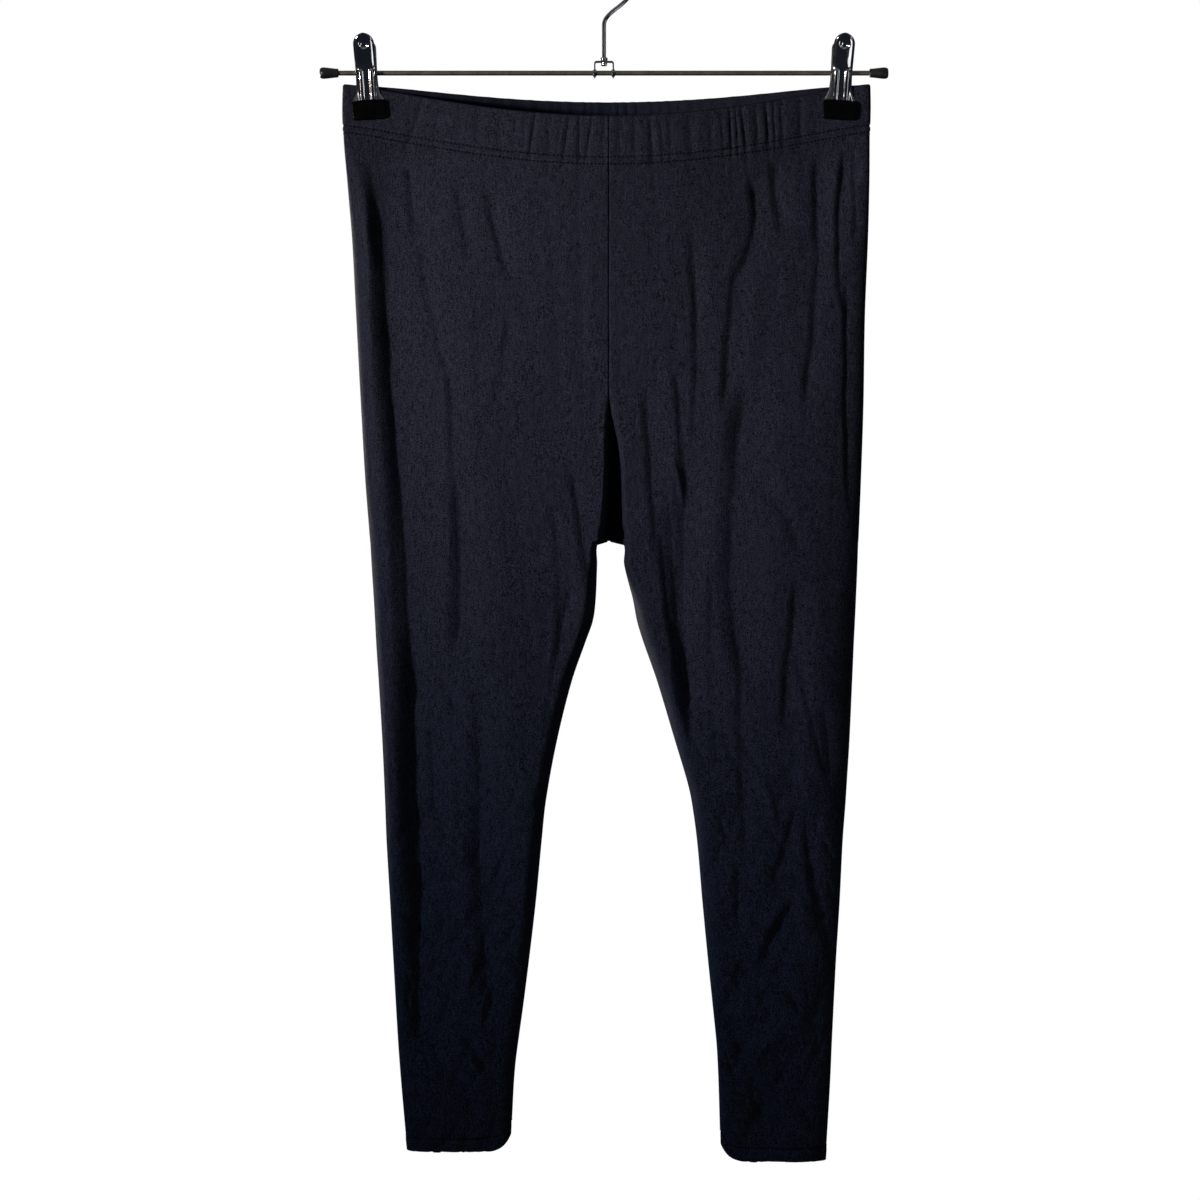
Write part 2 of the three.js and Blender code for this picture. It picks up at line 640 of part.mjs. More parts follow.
function plateGeometry(earOut) {
  const CROWN = 1.6;
  const grid = (inset) => PLATE_LEVELS.map(({ z, stand, half }) =>
    PLATE_COLUMNS.map((c) => new THREE.Vector3(c * half, -stand + inset + CROWN * c * c, z)));
  let solid = solidOf(wallGeometry(grid(0), grid(PLATE_WALL)));
  const EAR_WALL = 1;
  const ear = new THREE.Shape();
  ear.moveTo(-6.6, -7);
  ear.lineTo(0, -4.2);
  ear.lineTo(4, -2);
  ear.lineTo(4, 2);
  ear.lineTo(0, 4.2);
  ear.lineTo(-7.4, 4);
  const bore = new THREE.Path();
  bore.absarc(0, 0, EAR_BORE, 0, 2 * Math.PI, true);
  ear.holes.push(bore);
  for (const mirror of [-1, 1]) {
    const tab = new THREE.ExtrudeGeometry(ear, { depth: EAR_WALL, bevelEnabled: false, curveSegments: 8 });
    tab.translate(0, 0, -EAR_WALL / 2);
    tab.rotateX(Math.PI / 2);
    tab.rotateZ(Math.PI / 2);
    tab.translate(mirror * earOut, 0, 0);
    solid = solid.add(solidOf(tab));
  }
  return geometryOf(solid);
}

function padGeometry() {
  const CORNER = 2.4;
  const top = PLATE_END - FIT_GAP;
  const shape = new THREE.Shape();
  shape.moveTo(-PAD_HALF + 1, top);
  shape.lineTo(-PAD_HALF, top - 1.5);
  shape.lineTo(-PAD_HALF, PAD_END + CORNER);
  shape.quadraticCurveTo(-PAD_HALF, PAD_END, -PAD_HALF + CORNER, PAD_END);
  shape.lineTo(PAD_HALF - CORNER, PAD_END);
  shape.quadraticCurveTo(PAD_HALF, PAD_END, PAD_HALF, PAD_END + CORNER);
  shape.lineTo(PAD_HALF, top - 1.5);
  shape.lineTo(PAD_HALF - 1, top);
  const pad = new THREE.ExtrudeGeometry(shape, {
    depth: PAD_THICKNESS - 1.6,
    bevelThickness: 0.8,
    bevelSize: 0.8,
    bevelOffset: -0.8,
    bevelSegments: 2,
    curveSegments: 3,
  });
  pad.rotateX(Math.PI / 2);
  pad.translate(0, -PAD_INSIDE - 0.8, 0);
  return pad;
}

function springGeometry() {
  const LENGTH = 9.6;
  const INNER = 2.7;
  const OUTER = 4.3;
  const profile = [[INNER, -LENGTH / 2], [OUTER, -LENGTH / 2], [OUTER, LENGTH / 2], [INNER, LENGTH / 2],
    [INNER, -LENGTH / 2]].map(([x, y]) => new THREE.Vector2(x, y));
  const barrel = new THREE.LatheGeometry(profile, 16);
  barrel.rotateZ(Math.PI / 2);
  return barrel;
}

const EARS_OUT = { front: 7.4, back: 6.1 };
for (const [side, mirror] of [["right", -1], ["left", 1]]) {
  const clip = new THREE.Group();
  clip.position.set(mirror * CLIP_OUT, 0, ROD_Z);
  clip.rotation.y = mirror * CLIP_TILT;
  group.add(clip);
  for (const face of ["front", "back"]) {
    const turn = face === "front" ? 0 : Math.PI;
    add(`clip_plate_${face}_${side}`, plateGeometry(EARS_OUT[face]), CHROME, clip).rotation.z = turn;
    add(`clip_pad_${face}_${side}`, padGeometry(), BLACK_PLASTIC, clip).rotation.z = turn;
  }
  add(`clip_spring_${side}`, springGeometry(), CHROME, clip);
}

export default group;
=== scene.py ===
# The looks of a pair of black stretch-jersey leggings that hang by the waistband from a metal trouser hanger.
# Metres, +Z up. The front faces -Y, and the wearer's right leg is on the -X side.
import math

import bpy
import numpy as np
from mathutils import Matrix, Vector


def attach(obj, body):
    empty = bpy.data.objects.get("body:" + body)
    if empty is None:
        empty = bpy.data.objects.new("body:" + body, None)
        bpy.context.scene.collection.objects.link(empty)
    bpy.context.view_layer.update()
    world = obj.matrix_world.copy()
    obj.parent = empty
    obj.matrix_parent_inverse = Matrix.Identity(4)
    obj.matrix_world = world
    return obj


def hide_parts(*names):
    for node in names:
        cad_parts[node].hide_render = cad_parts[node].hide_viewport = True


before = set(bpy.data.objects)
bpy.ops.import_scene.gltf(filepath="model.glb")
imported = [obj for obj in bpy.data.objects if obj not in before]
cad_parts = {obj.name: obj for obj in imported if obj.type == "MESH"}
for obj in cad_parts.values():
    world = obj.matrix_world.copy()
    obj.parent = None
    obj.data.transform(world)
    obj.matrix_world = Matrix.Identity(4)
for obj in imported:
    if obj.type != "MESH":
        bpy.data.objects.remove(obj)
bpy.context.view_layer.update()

# The legs. Each is one cut piece of polyamide-elastane jersey, folded at the side with no side seam, and sewn at the
# centre front, the centre back and the inseam. It hangs nearly flat, in soft folds that run down from the two clips.
MM = 0.001
CENTRE_X = 4.0
BAND_TOP_Z = -107.0
BAND_HEIGHT = 40.0
CROTCH_DOWN = 365.0
LEG_LENGTH = {"right": 840.0, "left": 848.0}
FRONT_SAG = 27.5
BACK_SAG = 11.5
SAG_ENDS_DOWN = 300.0
HEM_LIFT = 14.0
CLIP_SHARE = 0.81
JERSEY_WALL = 0.9
MIRROR = {"right": -1, "left": 1}


def rows_of(columns, *rows):
    """A table as one array for each named column."""
    return {name: np.array([row[i] for row in rows]) for i, name in enumerate(columns)}


EDGES = {
    "right": rows_of(
        ("down", "outer", "inner"),
        (0, 212.5, 0),
        (40, 212.5, 0),
        (77, 209.5, 0),
        (125, 205.5, 0),
        (173, 203, 0),
        (257, 198.5, 0),
        (317, 195, 0),
        (365, 191.2, 0),
        (366.2, 191, 8.4),
        (384, 190, 9.4),
        (412, 188.2, 10.6),
        (429, 187.2, 12.8),
        (445, 186.4, 18.4),
        (477, 184.3, 29.6),
        (525, 181.4, 41.6),
        (573, 179.2, 50.4),
        (605, 178, 53.8),
        (653, 175.2, 58.4),
        (701, 172.5, 64),
        (765, 168.8, 72),
        (797, 166.4, 75.2),
        (840, 162.6, 77.4),
        (856, 161, 78),
    ),
    "left": rows_of(
        ("down", "outer", "inner"),
        (0, 208.6, 0),
        (40, 208.6, 0),
        (77, 208.4, 0),
        (125, 207.2, 0),
        (185, 204.8, 0),
        (257, 203.6, 0),
        (317, 201.6, 0),
        (365, 199.6, 0),
        (366.2, 199.4, 10.8),
        (384, 198.8, 12),
        (412, 197.6, 19.2),
        (429, 196.8, 22.4),
        (445, 196, 27.2),
        (477, 194.6, 38.4),
        (525, 192.4, 52.8),
        (557, 190.4, 62.4),
        (573, 189.4, 66),
        (605, 187, 70.4),
        (653, 184.6, 74.6),
        (701, 181.6, 79.2),
        (765, 178.4, 85.6),
        (797, 177, 87.2),
        (848, 174, 88.6),
        (864, 173, 89),
    ),
}

# How far from the centre seam the front lies folded back, in the dark wedge above the crotch.
WEDGE = rows_of(
    ("down", "right", "left"),
    (0, 0, 0),
    (235, 0, 0),
    (262, 0, 1.6),
    (282, 0, 5.2),
    (302, 0, 7.6),
    (320, 0.6, 8.6),
    (337, 1.6, 9.2),
    (352, 3, 9.8),
    (365, 4.4, 10.4),
    (366.2, 0, 0),
    (400, 0, 0),
    (864, 0, 0),
)

DEPTHS = rows_of(
    ("down", "half", "bow", "turn", "in_turn", "seam"),
    (0, 2.8, 20, 3, 6, 14),
    (40, 2.8, 20, 3, 6, 14),
    (62, 4.6, 19, 8, 6, 14),
    (92, 8, 17, 18, 6, 14),
    (135, 12.5, 13, 34, 6, 14),
    (200, 17, 9, 52, 5, 14),
    (280, 21, 5, 70, 4.5, 14),
    (365, 25, 1.5, 84, 5, 14),
    (390, 25.6, 1, 84, 8, 12),
    (430, 26, 0, 62, 10, 9),
    (500, 25, 0, 42, 11, 3),
    (600, 23, 0, 34, 12, 0),
    (700, 20.5, 0, 30, 12, 0),
    (800, 17.5, 0, 28, 12, 0),
    (864, 15.5, 0, 26, 12, 0),
)

# The folds that run down the cloth. Each line is the parabola through three places on the panel. The cloth dips by
# depth along it and rises again over a width that differs on the side of the seam and on the side of the fold.
FOLD = ("face", "out1", "down1", "out2", "down2", "out3", "down3", "in_width", "out_width", "depth")
FOLDS = {
    "right": (
        ("front", 190, 50, 171, 262, 154.5, 500, 34, 7, 8),
        ("front", 156, 430, 154.5, 570, 151, 790, 34, 10, 15),
        ("front", 161, 52, 157, 82, 153, 118, 10.5, 3, 2.8),
        ("front", 122, 60, 117, 95, 113, 132, 6.3, 3, 1.5),
        ("front", 97, 66, 90, 104, 77, 146, 8.9, 3, 2.3),
        ("front", 126, 225, 122, 330, 120, 400, 7.3, 3, 1.8),
        ("front", 121, 312, 117, 378, 121, 455, 15.6, 5.6, 4.4),
        ("front", 124, 440, 122, 520, 116, 600, 7.3, 3, 1.8),
        ("front", 31, 300, 24, 350, 13, 410, 8.9, 3, 2.3),
        ("front", 46, 330, 38, 400, 42, 470, 6.6, 3, 1.6),
        ("front", 141, 508, 140, 545, 138, 588, 10.5, 3, 3.2),
        ("front", 104, 462, 102, 600, 98, 760, 15, 7, 5.2),
        ("front", 152, 118, 139, 186, 123, 258, 6.9, 3, 1.7),
        ("front", 80, 174, 84, 215, 91, 262, 5.3, 2.5, 1.2),
        ("front", 26, 395, 40, 450, 50, 520, 6.6, 3, 1.6),
        ("front", 150, 600, 152, 680, 148, 770, 9.5, 3, 2.5),
        ("back", 186, 50, 170, 310, 160, 640, 5, 12, 8),
        ("back", 120, 60, 110, 190, 118, 330, 3.7, 5.6, 3.4),
        ("back", 60, 70, 66, 180, 52, 300, 4.3, 5.6, 2.8),
        ("back", 34, 250, 30, 330, 44, 420, 3.7, 5, 2.5),
        ("back", 92, 300, 84, 400, 90, 500, 4.3, 5.6, 2.5),
        ("back", 120, 390, 108, 520, 112, 660, 4.3, 6.2, 4.8),
        ("back", 146, 560, 140, 650, 146, 740, 3.7, 5, 2.8),
        ("back", 92, 640, 98, 720, 90, 800, 3.7, 5, 2.3),
        ("front", 180.5, 150, 168, 300, 154.5, 500, 34, 9, 6),
        ("front", 197, 50, 187.5, 262, 180, 470, 8, 12, -6.5),
        ("front", 183, 430, 177, 540, 171, 720, 11, 20, -12),
    ),
    "left": (
        ("front", 188, 46, 184, 118, 189, 190, 2.6, 13, 3.6),
        ("front", 188, 150, 189.5, 250, 191, 350, 2, 11.1, 3),
        ("front", 196, 46, 196, 80, 196, 128, 1.9, 7.3, 1.8),
        ("front", 166, 50, 166, 86, 168, 130, 3, 10.5, 2.8),
        ("front", 113, 58, 117, 96, 98, 148, 3, 11.7, 3.2),
        ("front", 102, 124, 97, 190, 90, 262, 3, 10.5, 2.8),
        ("front", 66, 90, 69, 190, 66, 310, 3, 8.5, 2.2),
        ("front", 133, 46, 134, 78, 137, 112, 3, 9.2, 2.4),
        ("front", 168, 118, 163, 196, 153, 262, 3, 10.5, 2.8),
        ("front", 52, 222, 56, 255, 59, 305, 2.4, 7.9, 2),
        ("front", 45, 309, 57, 448, 66, 570, 6, 16, 4.5),
        ("front", 146, 448, 161, 505, 178, 566, 3, 9.2, 2.4),
        ("front", 62, 285, 59, 395, 67, 530, 5.6, 18.5, 5.3),
        ("front", 111, 230, 98, 335, 105, 480, 6.8, 17.8, 5.1),
        ("front", 104, 425, 106, 520, 107, 625, 3, 9.5, 2.5),
        ("front", 30, 236, 33, 310, 38, 385, 3, 8.9, 2.3),
        ("front", 44, 350, 49, 430, 66, 500, 3, 10.5, 2.8),
        ("front", 149, 392, 144, 452, 139, 520, 3, 11.1, 3),
        ("front", 84, 380, 82, 460, 86, 560, 3, 8.2, 2.1),
        ("front", 172, 494, 174, 524, 179, 556, 3, 8.2, 2.1),
        ("front", 149, 572, 141, 606, 130, 642, 3, 14, 4.4),
        ("front", 158, 578, 163, 640, 178, 698, 3, 14, 4.4),
        ("front", 103, 618, 102, 648, 104, 676, 3, 8.2, 2.1),
        ("back", 184, 50, 180, 250, 176, 480, 9, 5, 7),
        ("back", 130, 60, 140, 200, 126, 340, 5, 3.7, 3.4),
        ("back", 70, 66, 60, 200, 72, 330, 5.6, 4.3, 2.9),
        ("back", 28, 230, 34, 320, 30, 410, 5, 3.7, 2.3),
        ("back", 96, 280, 88, 380, 96, 480, 5.6, 4.3, 2.5),
        ("back", 128, 390, 116, 520, 124, 680, 6.2, 4.3, 5.1),
        ("back", 160, 540, 152, 640, 160, 740, 5, 3.7, 2.8),
        ("back", 104, 640, 110, 720, 106, 800, 5, 3.7, 2.3),
    ),
}

# Short creases, where the cloth was bent when it was folded away, at the knees and above the hems. Each runs straight
# or bowed from one place to another; one with a negative depth stands up as a ridge.
CREASE = ("face", "out1", "down1", "out2", "down2", "bow", "left_width", "right_width", "depth")
CREASES = {
    "right": (
        ("front", 84, 622, 92, 652, 3, 3, 4.5, 2.7),
        ("front", 93, 667, 74, 659, 2, 3, 3, 2.7),
        ("front", 84, 701, 72, 706, -2, 3, 3.8, 2.7),
        ("front", 101, 688, 113, 728, 2, 3, 4.5, -3.3),
        ("front", 95, 714, 101, 768, 3, 3, 4.5, -3),
        ("front", 138, 744, 94, 808, -5, 3.8, 6, -4.8),
        ("front", 128, 762, 104, 812, -3, 4.5, 4.5, 2.7),
        ("front", 120, 778, 96, 824, -3, 3, 5.2, -3.6),
        ("front", 152, 650, 138, 636, 0, 3, 3, 2.1),
        ("front", 152, 716, 130, 690, 4, 3.8, 3.8, 2.4),
        ("front", 120, 740, 96, 742, 4, 3.8, 3.8, 2.1),
        ("front", 150, 800, 128, 790, 3, 3.8, 3.8, 1.8),
        ("front", 128, 612, 150, 560, 5, 3.8, 4.5, 1.8),
        ("front", 130, 470, 108, 520, 4, 3.8, 4.5, 1.8),
        ("back", 90, 640, 110, 680, 3, 3.8, 4.5, 3),
        ("back", 140, 720, 112, 756, -3, 3.8, 4.5, 3.3),
        ("back", 128, 742, 98, 806, -4, 3.8, 5.2, -3.3),
        ("back", 92, 690, 112, 712, 3, 3, 3.8, 2.7),
        ("back", 150, 780, 122, 796, 3, 3.8, 3.8, 2.1),
        ("back", 70, 470, 100, 440, 3, 4.5, 5.2, 2.4),
    ),
    "left": (
        ("front", 51, 302, 59, 338, 1, 2.2, 3.8, -3),
        ("front", 146, 654, 120, 706, -2, 3, 5.2, 5.7),
        ("front", 139, 650, 114, 700, -2, 3, 4.5, -2.4),
        ("front", 116, 552, 132, 590, 3, 3, 3.8, -3),
        ("front", 90, 742, 132, 840, 3, 18, 4, 12.5),
        ("front", 135, 756, 114, 786, -2, 3, 3.8, -3.9),
        ("front", 142, 770, 122, 792, -3, 3.8, 3.8, 2.4),
        ("front", 126, 696, 148, 736, 3, 3.8, 4.5, 2.7),
        ("front", 94, 690, 112, 716, 2, 3, 3.8, 2.4),
        ("front", 88, 716, 108, 730, -2, 3.8, 3.8, 2.2),
        ("front", 152, 700, 160, 760, 3, 3.8, 4.5, 2.1),
        ("front", 150, 540, 132, 560, 2, 3.8, 3.8, 1.8),
        ("front", 112, 640, 92, 668, 3, 3, 3.8, 1.8),
        ("front", 156, 806, 132, 798, 2, 3.8, 3.8, 2.1),
        ("front", 128, 330, 150, 372, 4, 4.5, 5.2, 1.8),
        ("back", 100, 640, 126, 676, 3, 3.8, 4.5, 3),
        ("back", 156, 700, 124, 748, -3, 3.8, 5.2, 3.9),
        ("back", 100, 740, 140, 800, 3, 4.5, 5.2, -3.6),
        ("back", 150, 760, 160, 810, 3, 3.8, 4.5, 2.2),
        ("back", 78, 470, 110, 436, 3, 4.5, 5.2, 2.4),
    ),
}

# The puckers that the waistband's elastic draws in. lean is how much further out the lower end lies. They run on a
# little way below the band.
PUCKER = ("face", "out", "lean", "width", "depth")
PUCKERS = {
    "right": (
        ("front", 4, 1, 2.2, 0.5),
        ("front", 13, 6, 2.4, 1.1),
        ("front", 18, 4, 2, 0.5),
        ("front", 23, 1, 2.2, 1),
        ("front", 31, 6, 2.4, 1.2),
        ("front", 38, 4, 3, 0.4),
        ("front", 46, 2, 3, 0.5),
        ("front", 58, 6, 2.2, 1.3),
        ("front", 66, 3, 3, 0.4),
        ("front", 74, 2, 4, 0.5),
        ("front", 87, -2, 4, 0.5),
        ("front", 103, 3, 4, 0.6),
        ("front", 119, 2, 5, 0.4),
        ("front", 134, 2, 5, 0.5),
        ("front", 148, 12, 3, 1.3),
        ("front", 156, 6, 3, 0.5),
        ("back", 9, 0, 3, 1),
        ("back", 15, 2, 2, 0.7),
        ("back", 21, 2, 2.5, 0.9),
        ("back", 34, -2, 3, 1.1),
        ("back", 42, 1, 2.2, 0.7),
        ("back", 48, 2, 3, 0.9),
        ("back", 63, 1, 3, 1),
        ("back", 79, 2, 4, 0.8),
        ("back", 97, -2, 4, 0.9),
        ("back", 118, 2, 5, 0.7),
        ("back", 138, 1, 5, 0.6),
        ("back", 157, 2, 5, 0.6),
    ),
    "left": (
        ("front", 8, 1, 3, 0.5),
        ("front", 20, 1, 3, 0.6),
        ("front", 33, 2, 3, 1),
        ("front", 41, 2, 2.5, 0.5),
        ("front", 48, 1, 3, 0.6),
        ("front", 64, 2, 4, 0.7),
        ("front", 80, 2, 3, 0.6),
        ("front", 89, 3, 2.2, 0.6),
        ("front", 96, 2, 2, 1.3),
        ("front", 100.5, 3, 1.8, 1),
        ("front", 105, 5, 2.2, 1.4),
        ("front", 117, 2, 2.6, 0.9),
        ("front", 125, 3, 2.2, 1.4),
        ("front", 131, 2, 2, 0.9),
        ("front", 137, 2, 2.6, 0.8),
        ("front", 152, 2, 3, 0.7),
        ("back", 5, 1, 2, 0.9),
        ("back", 11, 1, 2.2, 1.1),
        ("back", 19, 2, 2.4, 1.2),
        ("back", 26, 1, 2, 0.8),
        ("back", 32, -2, 2.6, 1),
        ("back", 39, 2, 2, 0.8),
        ("back", 46, 3, 2.6, 1.1),
        ("back", 54, 1, 2.2, 0.8),
        ("back", 62, 1, 3, 1),
        ("back", 72, 1, 2.4, 0.7),
        ("back", 80, 2, 3, 0.8),
        ("back", 100, 1, 4, 0.9),
        ("back", 121, 2, 5, 0.7),
        ("back", 143, 2, 5, 0.6),
    ),
}


def smooth(low, high, x):
    """0 up to low and 1 from high on, joined by the cubic 3tt - 2ttt."""
    t = np.clip((x - low) / (high - low), 0, 1)
    return t * t * (3 - 2 * t)


def level(table, column, down):
    """A column of a table at any level of its first column: between two rows, the cubic that has at each row the slope
    of the straight line between that row's neighbours."""
    x, y = next(iter(table.values())), table[column]
    before, after = np.maximum(np.arange(len(x)) - 1, 0), np.minimum(np.arange(len(x)) + 1, len(x) - 1)
    slope = (y[after] - y[before]) / (x[after] - x[before])
    i = np.clip(np.searchsorted(x, down, side="right") - 1, 0, len(x) - 2)
    step = x[i + 1] - x[i]
    t = np.clip((down - x[i]) / step, 0, 1)
    h = t * t * (3 - 2 * t)
    return y[i] * (1 - h) + y[i + 1] * h + step * t * (1 - t) * (slope[i] * (1 - t) - slope[i + 1] * t)


def soft_noise(x, y, seed):
    """Smooth noise from -1 to 1, one bump a unit: random values on a square lattice, joined by cubics."""
    lattice = np.random.default_rng(seed).uniform(-1, 1, (64, 64))
    i, j = np.floor(x).astype(int), np.floor(y).astype(int)
    s, t = x - i, y - j
    s, t = s * s * (3 - 2 * s), t * t * (3 - 2 * t)
    at = lambda a, b: lattice[(i + a) % 64, (j + b) % 64]
    return (at(0, 0) * (1 - s) + at(1, 0) * s) * (1 - t) + (at(0, 1) * (1 - s) + at(1, 1) * s) * t


def valley(off, width):
    """The section of a fold in thin cloth, 1 at its line and 0 from two widths away: a slope that is nearly even, sharp
    at the bottom and soft only at its shoulders."""
    a = np.sqrt((off / width) ** 2 + 0.01)
    return np.clip(1 - a / 2, 0, 1) ** 1.4


def fold_dent(side, front, out, down):
    """How far the long folds dip: for each, depth times a valley across its line, whose two sides have their own widths,
    times a half sine along it. The line wanders a little, as cloth does."""
    dent = np.zeros_like(out)
    for k, row in enumerate(FOLDS[side]):
        fold = dict(zip(FOLD, row))
        o1, o2, o3 = fold["out1"], fold["out2"], fold["out3"]
        d1, d2, d3 = fold["down1"], fold["down2"], fold["down3"]
        a = (down - d2) * (down - d3) / ((d1 - d2) * (d1 - d3))
        b = (down - d1) * (down - d3) / ((d2 - d1) * (d2 - d3))
        c = (down - d1) * (down - d2) / ((d3 - d1) * (d3 - d2))
        line = o1 * a + o2 * b + o3 * c + 0.9 * np.sin(down / 31 + 2.3 * k) + 0.4 * np.sin(down / 9 + 1.3 * k)
        along = np.clip((down - d1) / (d3 - d1), 0, 1)
        ends = np.minimum(1, 2.2 * np.sin(math.pi * along))
        uneven = 1 + 0.22 * np.sin(down / 43 + 1.7 * k)
        off = out - line
        width = np.where(off < 0, fold["in_width"], fold["out_width"])
        here = front if fold["face"] == "front" else ~front
        dent += here * fold["depth"] * uneven * ends * valley(off, width)
    return dent


def crease_dent(side, front, out, down):
    """How far the short creases dip: for each, depth times a bell across the chord between its ends, bowed by a
    parabola, times a half sine along it."""
    dent = np.zeros_like(out)
    for row in CREASES[side]:
        crease = dict(zip(CREASE, row))
        start = np.array([crease["out1"], crease["down1"]], float)
        chord = np.array([crease["out2"], crease["down2"]], float) - start
        length = np.hypot(*chord)
        run = ((out - start[0]) * chord[0] + (down - start[1]) * chord[1]) / length**2
        off = ((out - start[0]) * chord[1] - (down - start[1]) * chord[0]) / length
        inside = np.clip(run, 0, 1)
        off = off - crease["bow"] * 4 * inside * (1 - inside)
        width = np.where(off < 0, crease["left_width"], crease["right_width"])
        ends = np.sin(math.pi * np.clip((run + 0.12) / 1.24, 0, 1)) ** 0.8
        here = front if crease["face"] == "front" else ~front
        dent += here * crease["depth"] * ends * valley(off, width)
    return dent


def pucker_dent(side, front, out, down):
    """How far the elastic's puckers dip: for each, depth times a bell across its leaning line. They are deepest half way
    down the band, and fade out below it."""
    height = np.sin(math.pi * np.clip(down / BAND_HEIGHT, 0, 1))
    strength = np.where(down < BAND_HEIGHT, 0.35 + 0.65 * height, 0.35 * np.exp(-(down - BAND_HEIGHT) / 16))
    dent = np.zeros_like(out)
    for row in PUCKERS[side]:
        pucker = dict(zip(PUCKER, row))
        off = out - pucker["out"] - pucker["lean"] * down / BAND_HEIGHT
        here = front if pucker["face"] == "front" else ~front
        dent += here * 1.7 * pucker["depth"] * strength * valley(off, 0.8 * pucker["width"])
    return dent


def rumple(side, front, out, down):
    """The small unevenness of jersey: slight upright ripples on the hips, and creases of three sizes that grow towards
    the hems. A crease runs wherever smooth noise crosses zero, and dips by the cube of how near to it the noise is."""
    seed = 11 + (side == "left")
    flip = np.where(front, 0, 31.7)
    ripples = 0.3 * soft_noise(out / 13 + flip, down / 90, seed) + 0.2 * soft_noise(out / 5 + flip, down / 40, seed + 5)
    creased = lambda x, y, n: (1 - np.abs(soft_noise(x + flip, y, seed + n))) ** 3
    upright = creased((out + 0.06 * down) / 21, down / 120, 7)
    coarse = creased((out + 0.5 * down) / 34, (down - 0.3 * out) / 44, 2)
    middle = creased((out - 0.55 * down) / 19, (down + 0.3 * out) / 25, 3)
    fine = creased((out + 0.4 * down) / 10, down / 14, 4)
    grown = 0.08 + 0.92 * smooth(430, 760, down)
    small = smooth(520, 760, down)
    return ripples + 0.5 * upright + grown * (3.6 * coarse + 3.2 * middle) + small * 1.5 * fine - 2 * grown


def quarter_round(distance, turn):
    """How far a face has risen at a distance from its edge, from 0 there to 1 past the turn: a quarter of an ellipse."""
    short = 1 - np.clip(distance / turn, 0, 1)
    return np.sqrt(1 - short * short)


def panel_point(side, front, share, down):
    """A place on the cloth, in millimetres. Across, the face is flat and rounds off over a quarter of an ellipse at the
    side fold, and at the inner edge once the legs part. It stands off the hanging plane by a tabled amount, plus a bow
    at the open waist, less the folds, creases and puckers."""
    outer = level(EDGES[side], "outer", down)
    inner = np.maximum(0, level(EDGES[side], "inner", down))
    reach = 8 - 7 * smooth(CROTCH_DOWN + 15, CROTCH_DOWN + 115, down)
    out = outer * share + inner * (1 - share) ** reach
    parting = smooth(CROTCH_DOWN - 125, CROTCH_DOWN - 45, down)
    closing = np.where(front, parting, smooth(CROTCH_DOWN - 34, CROTCH_DOWN, down))
    folded_back = np.where(front, level(WEDGE, side, down), 0)
    side_round = quarter_round(outer - out, level(DEPTHS, "turn", down))
    leg_round = quarter_round(np.maximum(0, out - inner - folded_back), level(DEPTHS, "in_turn", down))
    rounded = side_round * (1 - closing * (1 - leg_round))
    bowed = np.maximum(0, 1 - (share / CLIP_SHARE) ** 2) ** 1.3
    dents = fold_dent(side, front, out, down) + crease_dent(side, front, out, down) + pucker_dent(side, front, out, down)
    dents = dents + smooth(BAND_HEIGHT - 4, BAND_HEIGHT + 50, down) * rumple(side, front, out, down)
    stand = level(DEPTHS, "half", down) + level(DEPTHS, "bow", down) * bowed - dents
    plane = level(DEPTHS, "seam", down) * (1 - share) ** 6 * parting
    y = plane * (1 - rounded) + np.where(front, -stand, stand) * rounded
    sag = np.where(front, FRONT_SAG, BACK_SAG) * (1 - share * share) ** 1.4
    length = LEG_LENGTH[side]
    lift = HEM_LIFT * np.exp(-share / 0.07) * smooth(length - 110, length, down)
    z = BAND_TOP_Z - down - sag * (1 - smooth(BAND_HEIGHT, SAG_ENDS_DOWN, down)) + lift
    point = np.stack([CENTRE_X + MIRROR[side] * np.maximum(0, out), y, z], axis=-1)
    return point, out, outer


def cloth_grid(side, columns, levels, ring_from):
    """A grid of places on one panel, with the outward direction at each: rows at the given levels, and columns from the
    front seam round the side fold to the back seam, two thirds of them in front, closer together at both edges of each
    face. From the row ring_from on, the panel closes to a tube. Also gives the cloth's own coordinates: across from the
    side fold, and down."""
    fold = 2 * (columns // 3)
    t = np.interp(np.arange(columns), (0, fold, columns - 1), (0, 1, 0))
    t, front, down = np.broadcast_arrays(t, np.arange(columns) <= fold, np.asarray(levels, float)[:, None])
    share = 0.55 * t + 0.225 * (1 - np.cos(math.pi * t))
    points, out, outer = panel_point(side, front, share, down)
    points[ring_from:, -1] = points[ring_from:, 0]
    across = np.gradient(points, axis=1)
    across[ring_from:, [0, -1]] = ((points[ring_from:, 1] - points[ring_from:, -2]) / 2)[:, None]
    normal = np.cross(np.gradient(points, axis=0), across) * MIRROR[side]
    normal[:ring_from, [0, -1], 0] = 0
    normal /= np.maximum(np.linalg.norm(normal, axis=-1, keepdims=True), 1e-12)
    own = np.stack([np.where(front, out - outer, outer - out) * MM, -down * MM], axis=-1)
    return points, normal, own


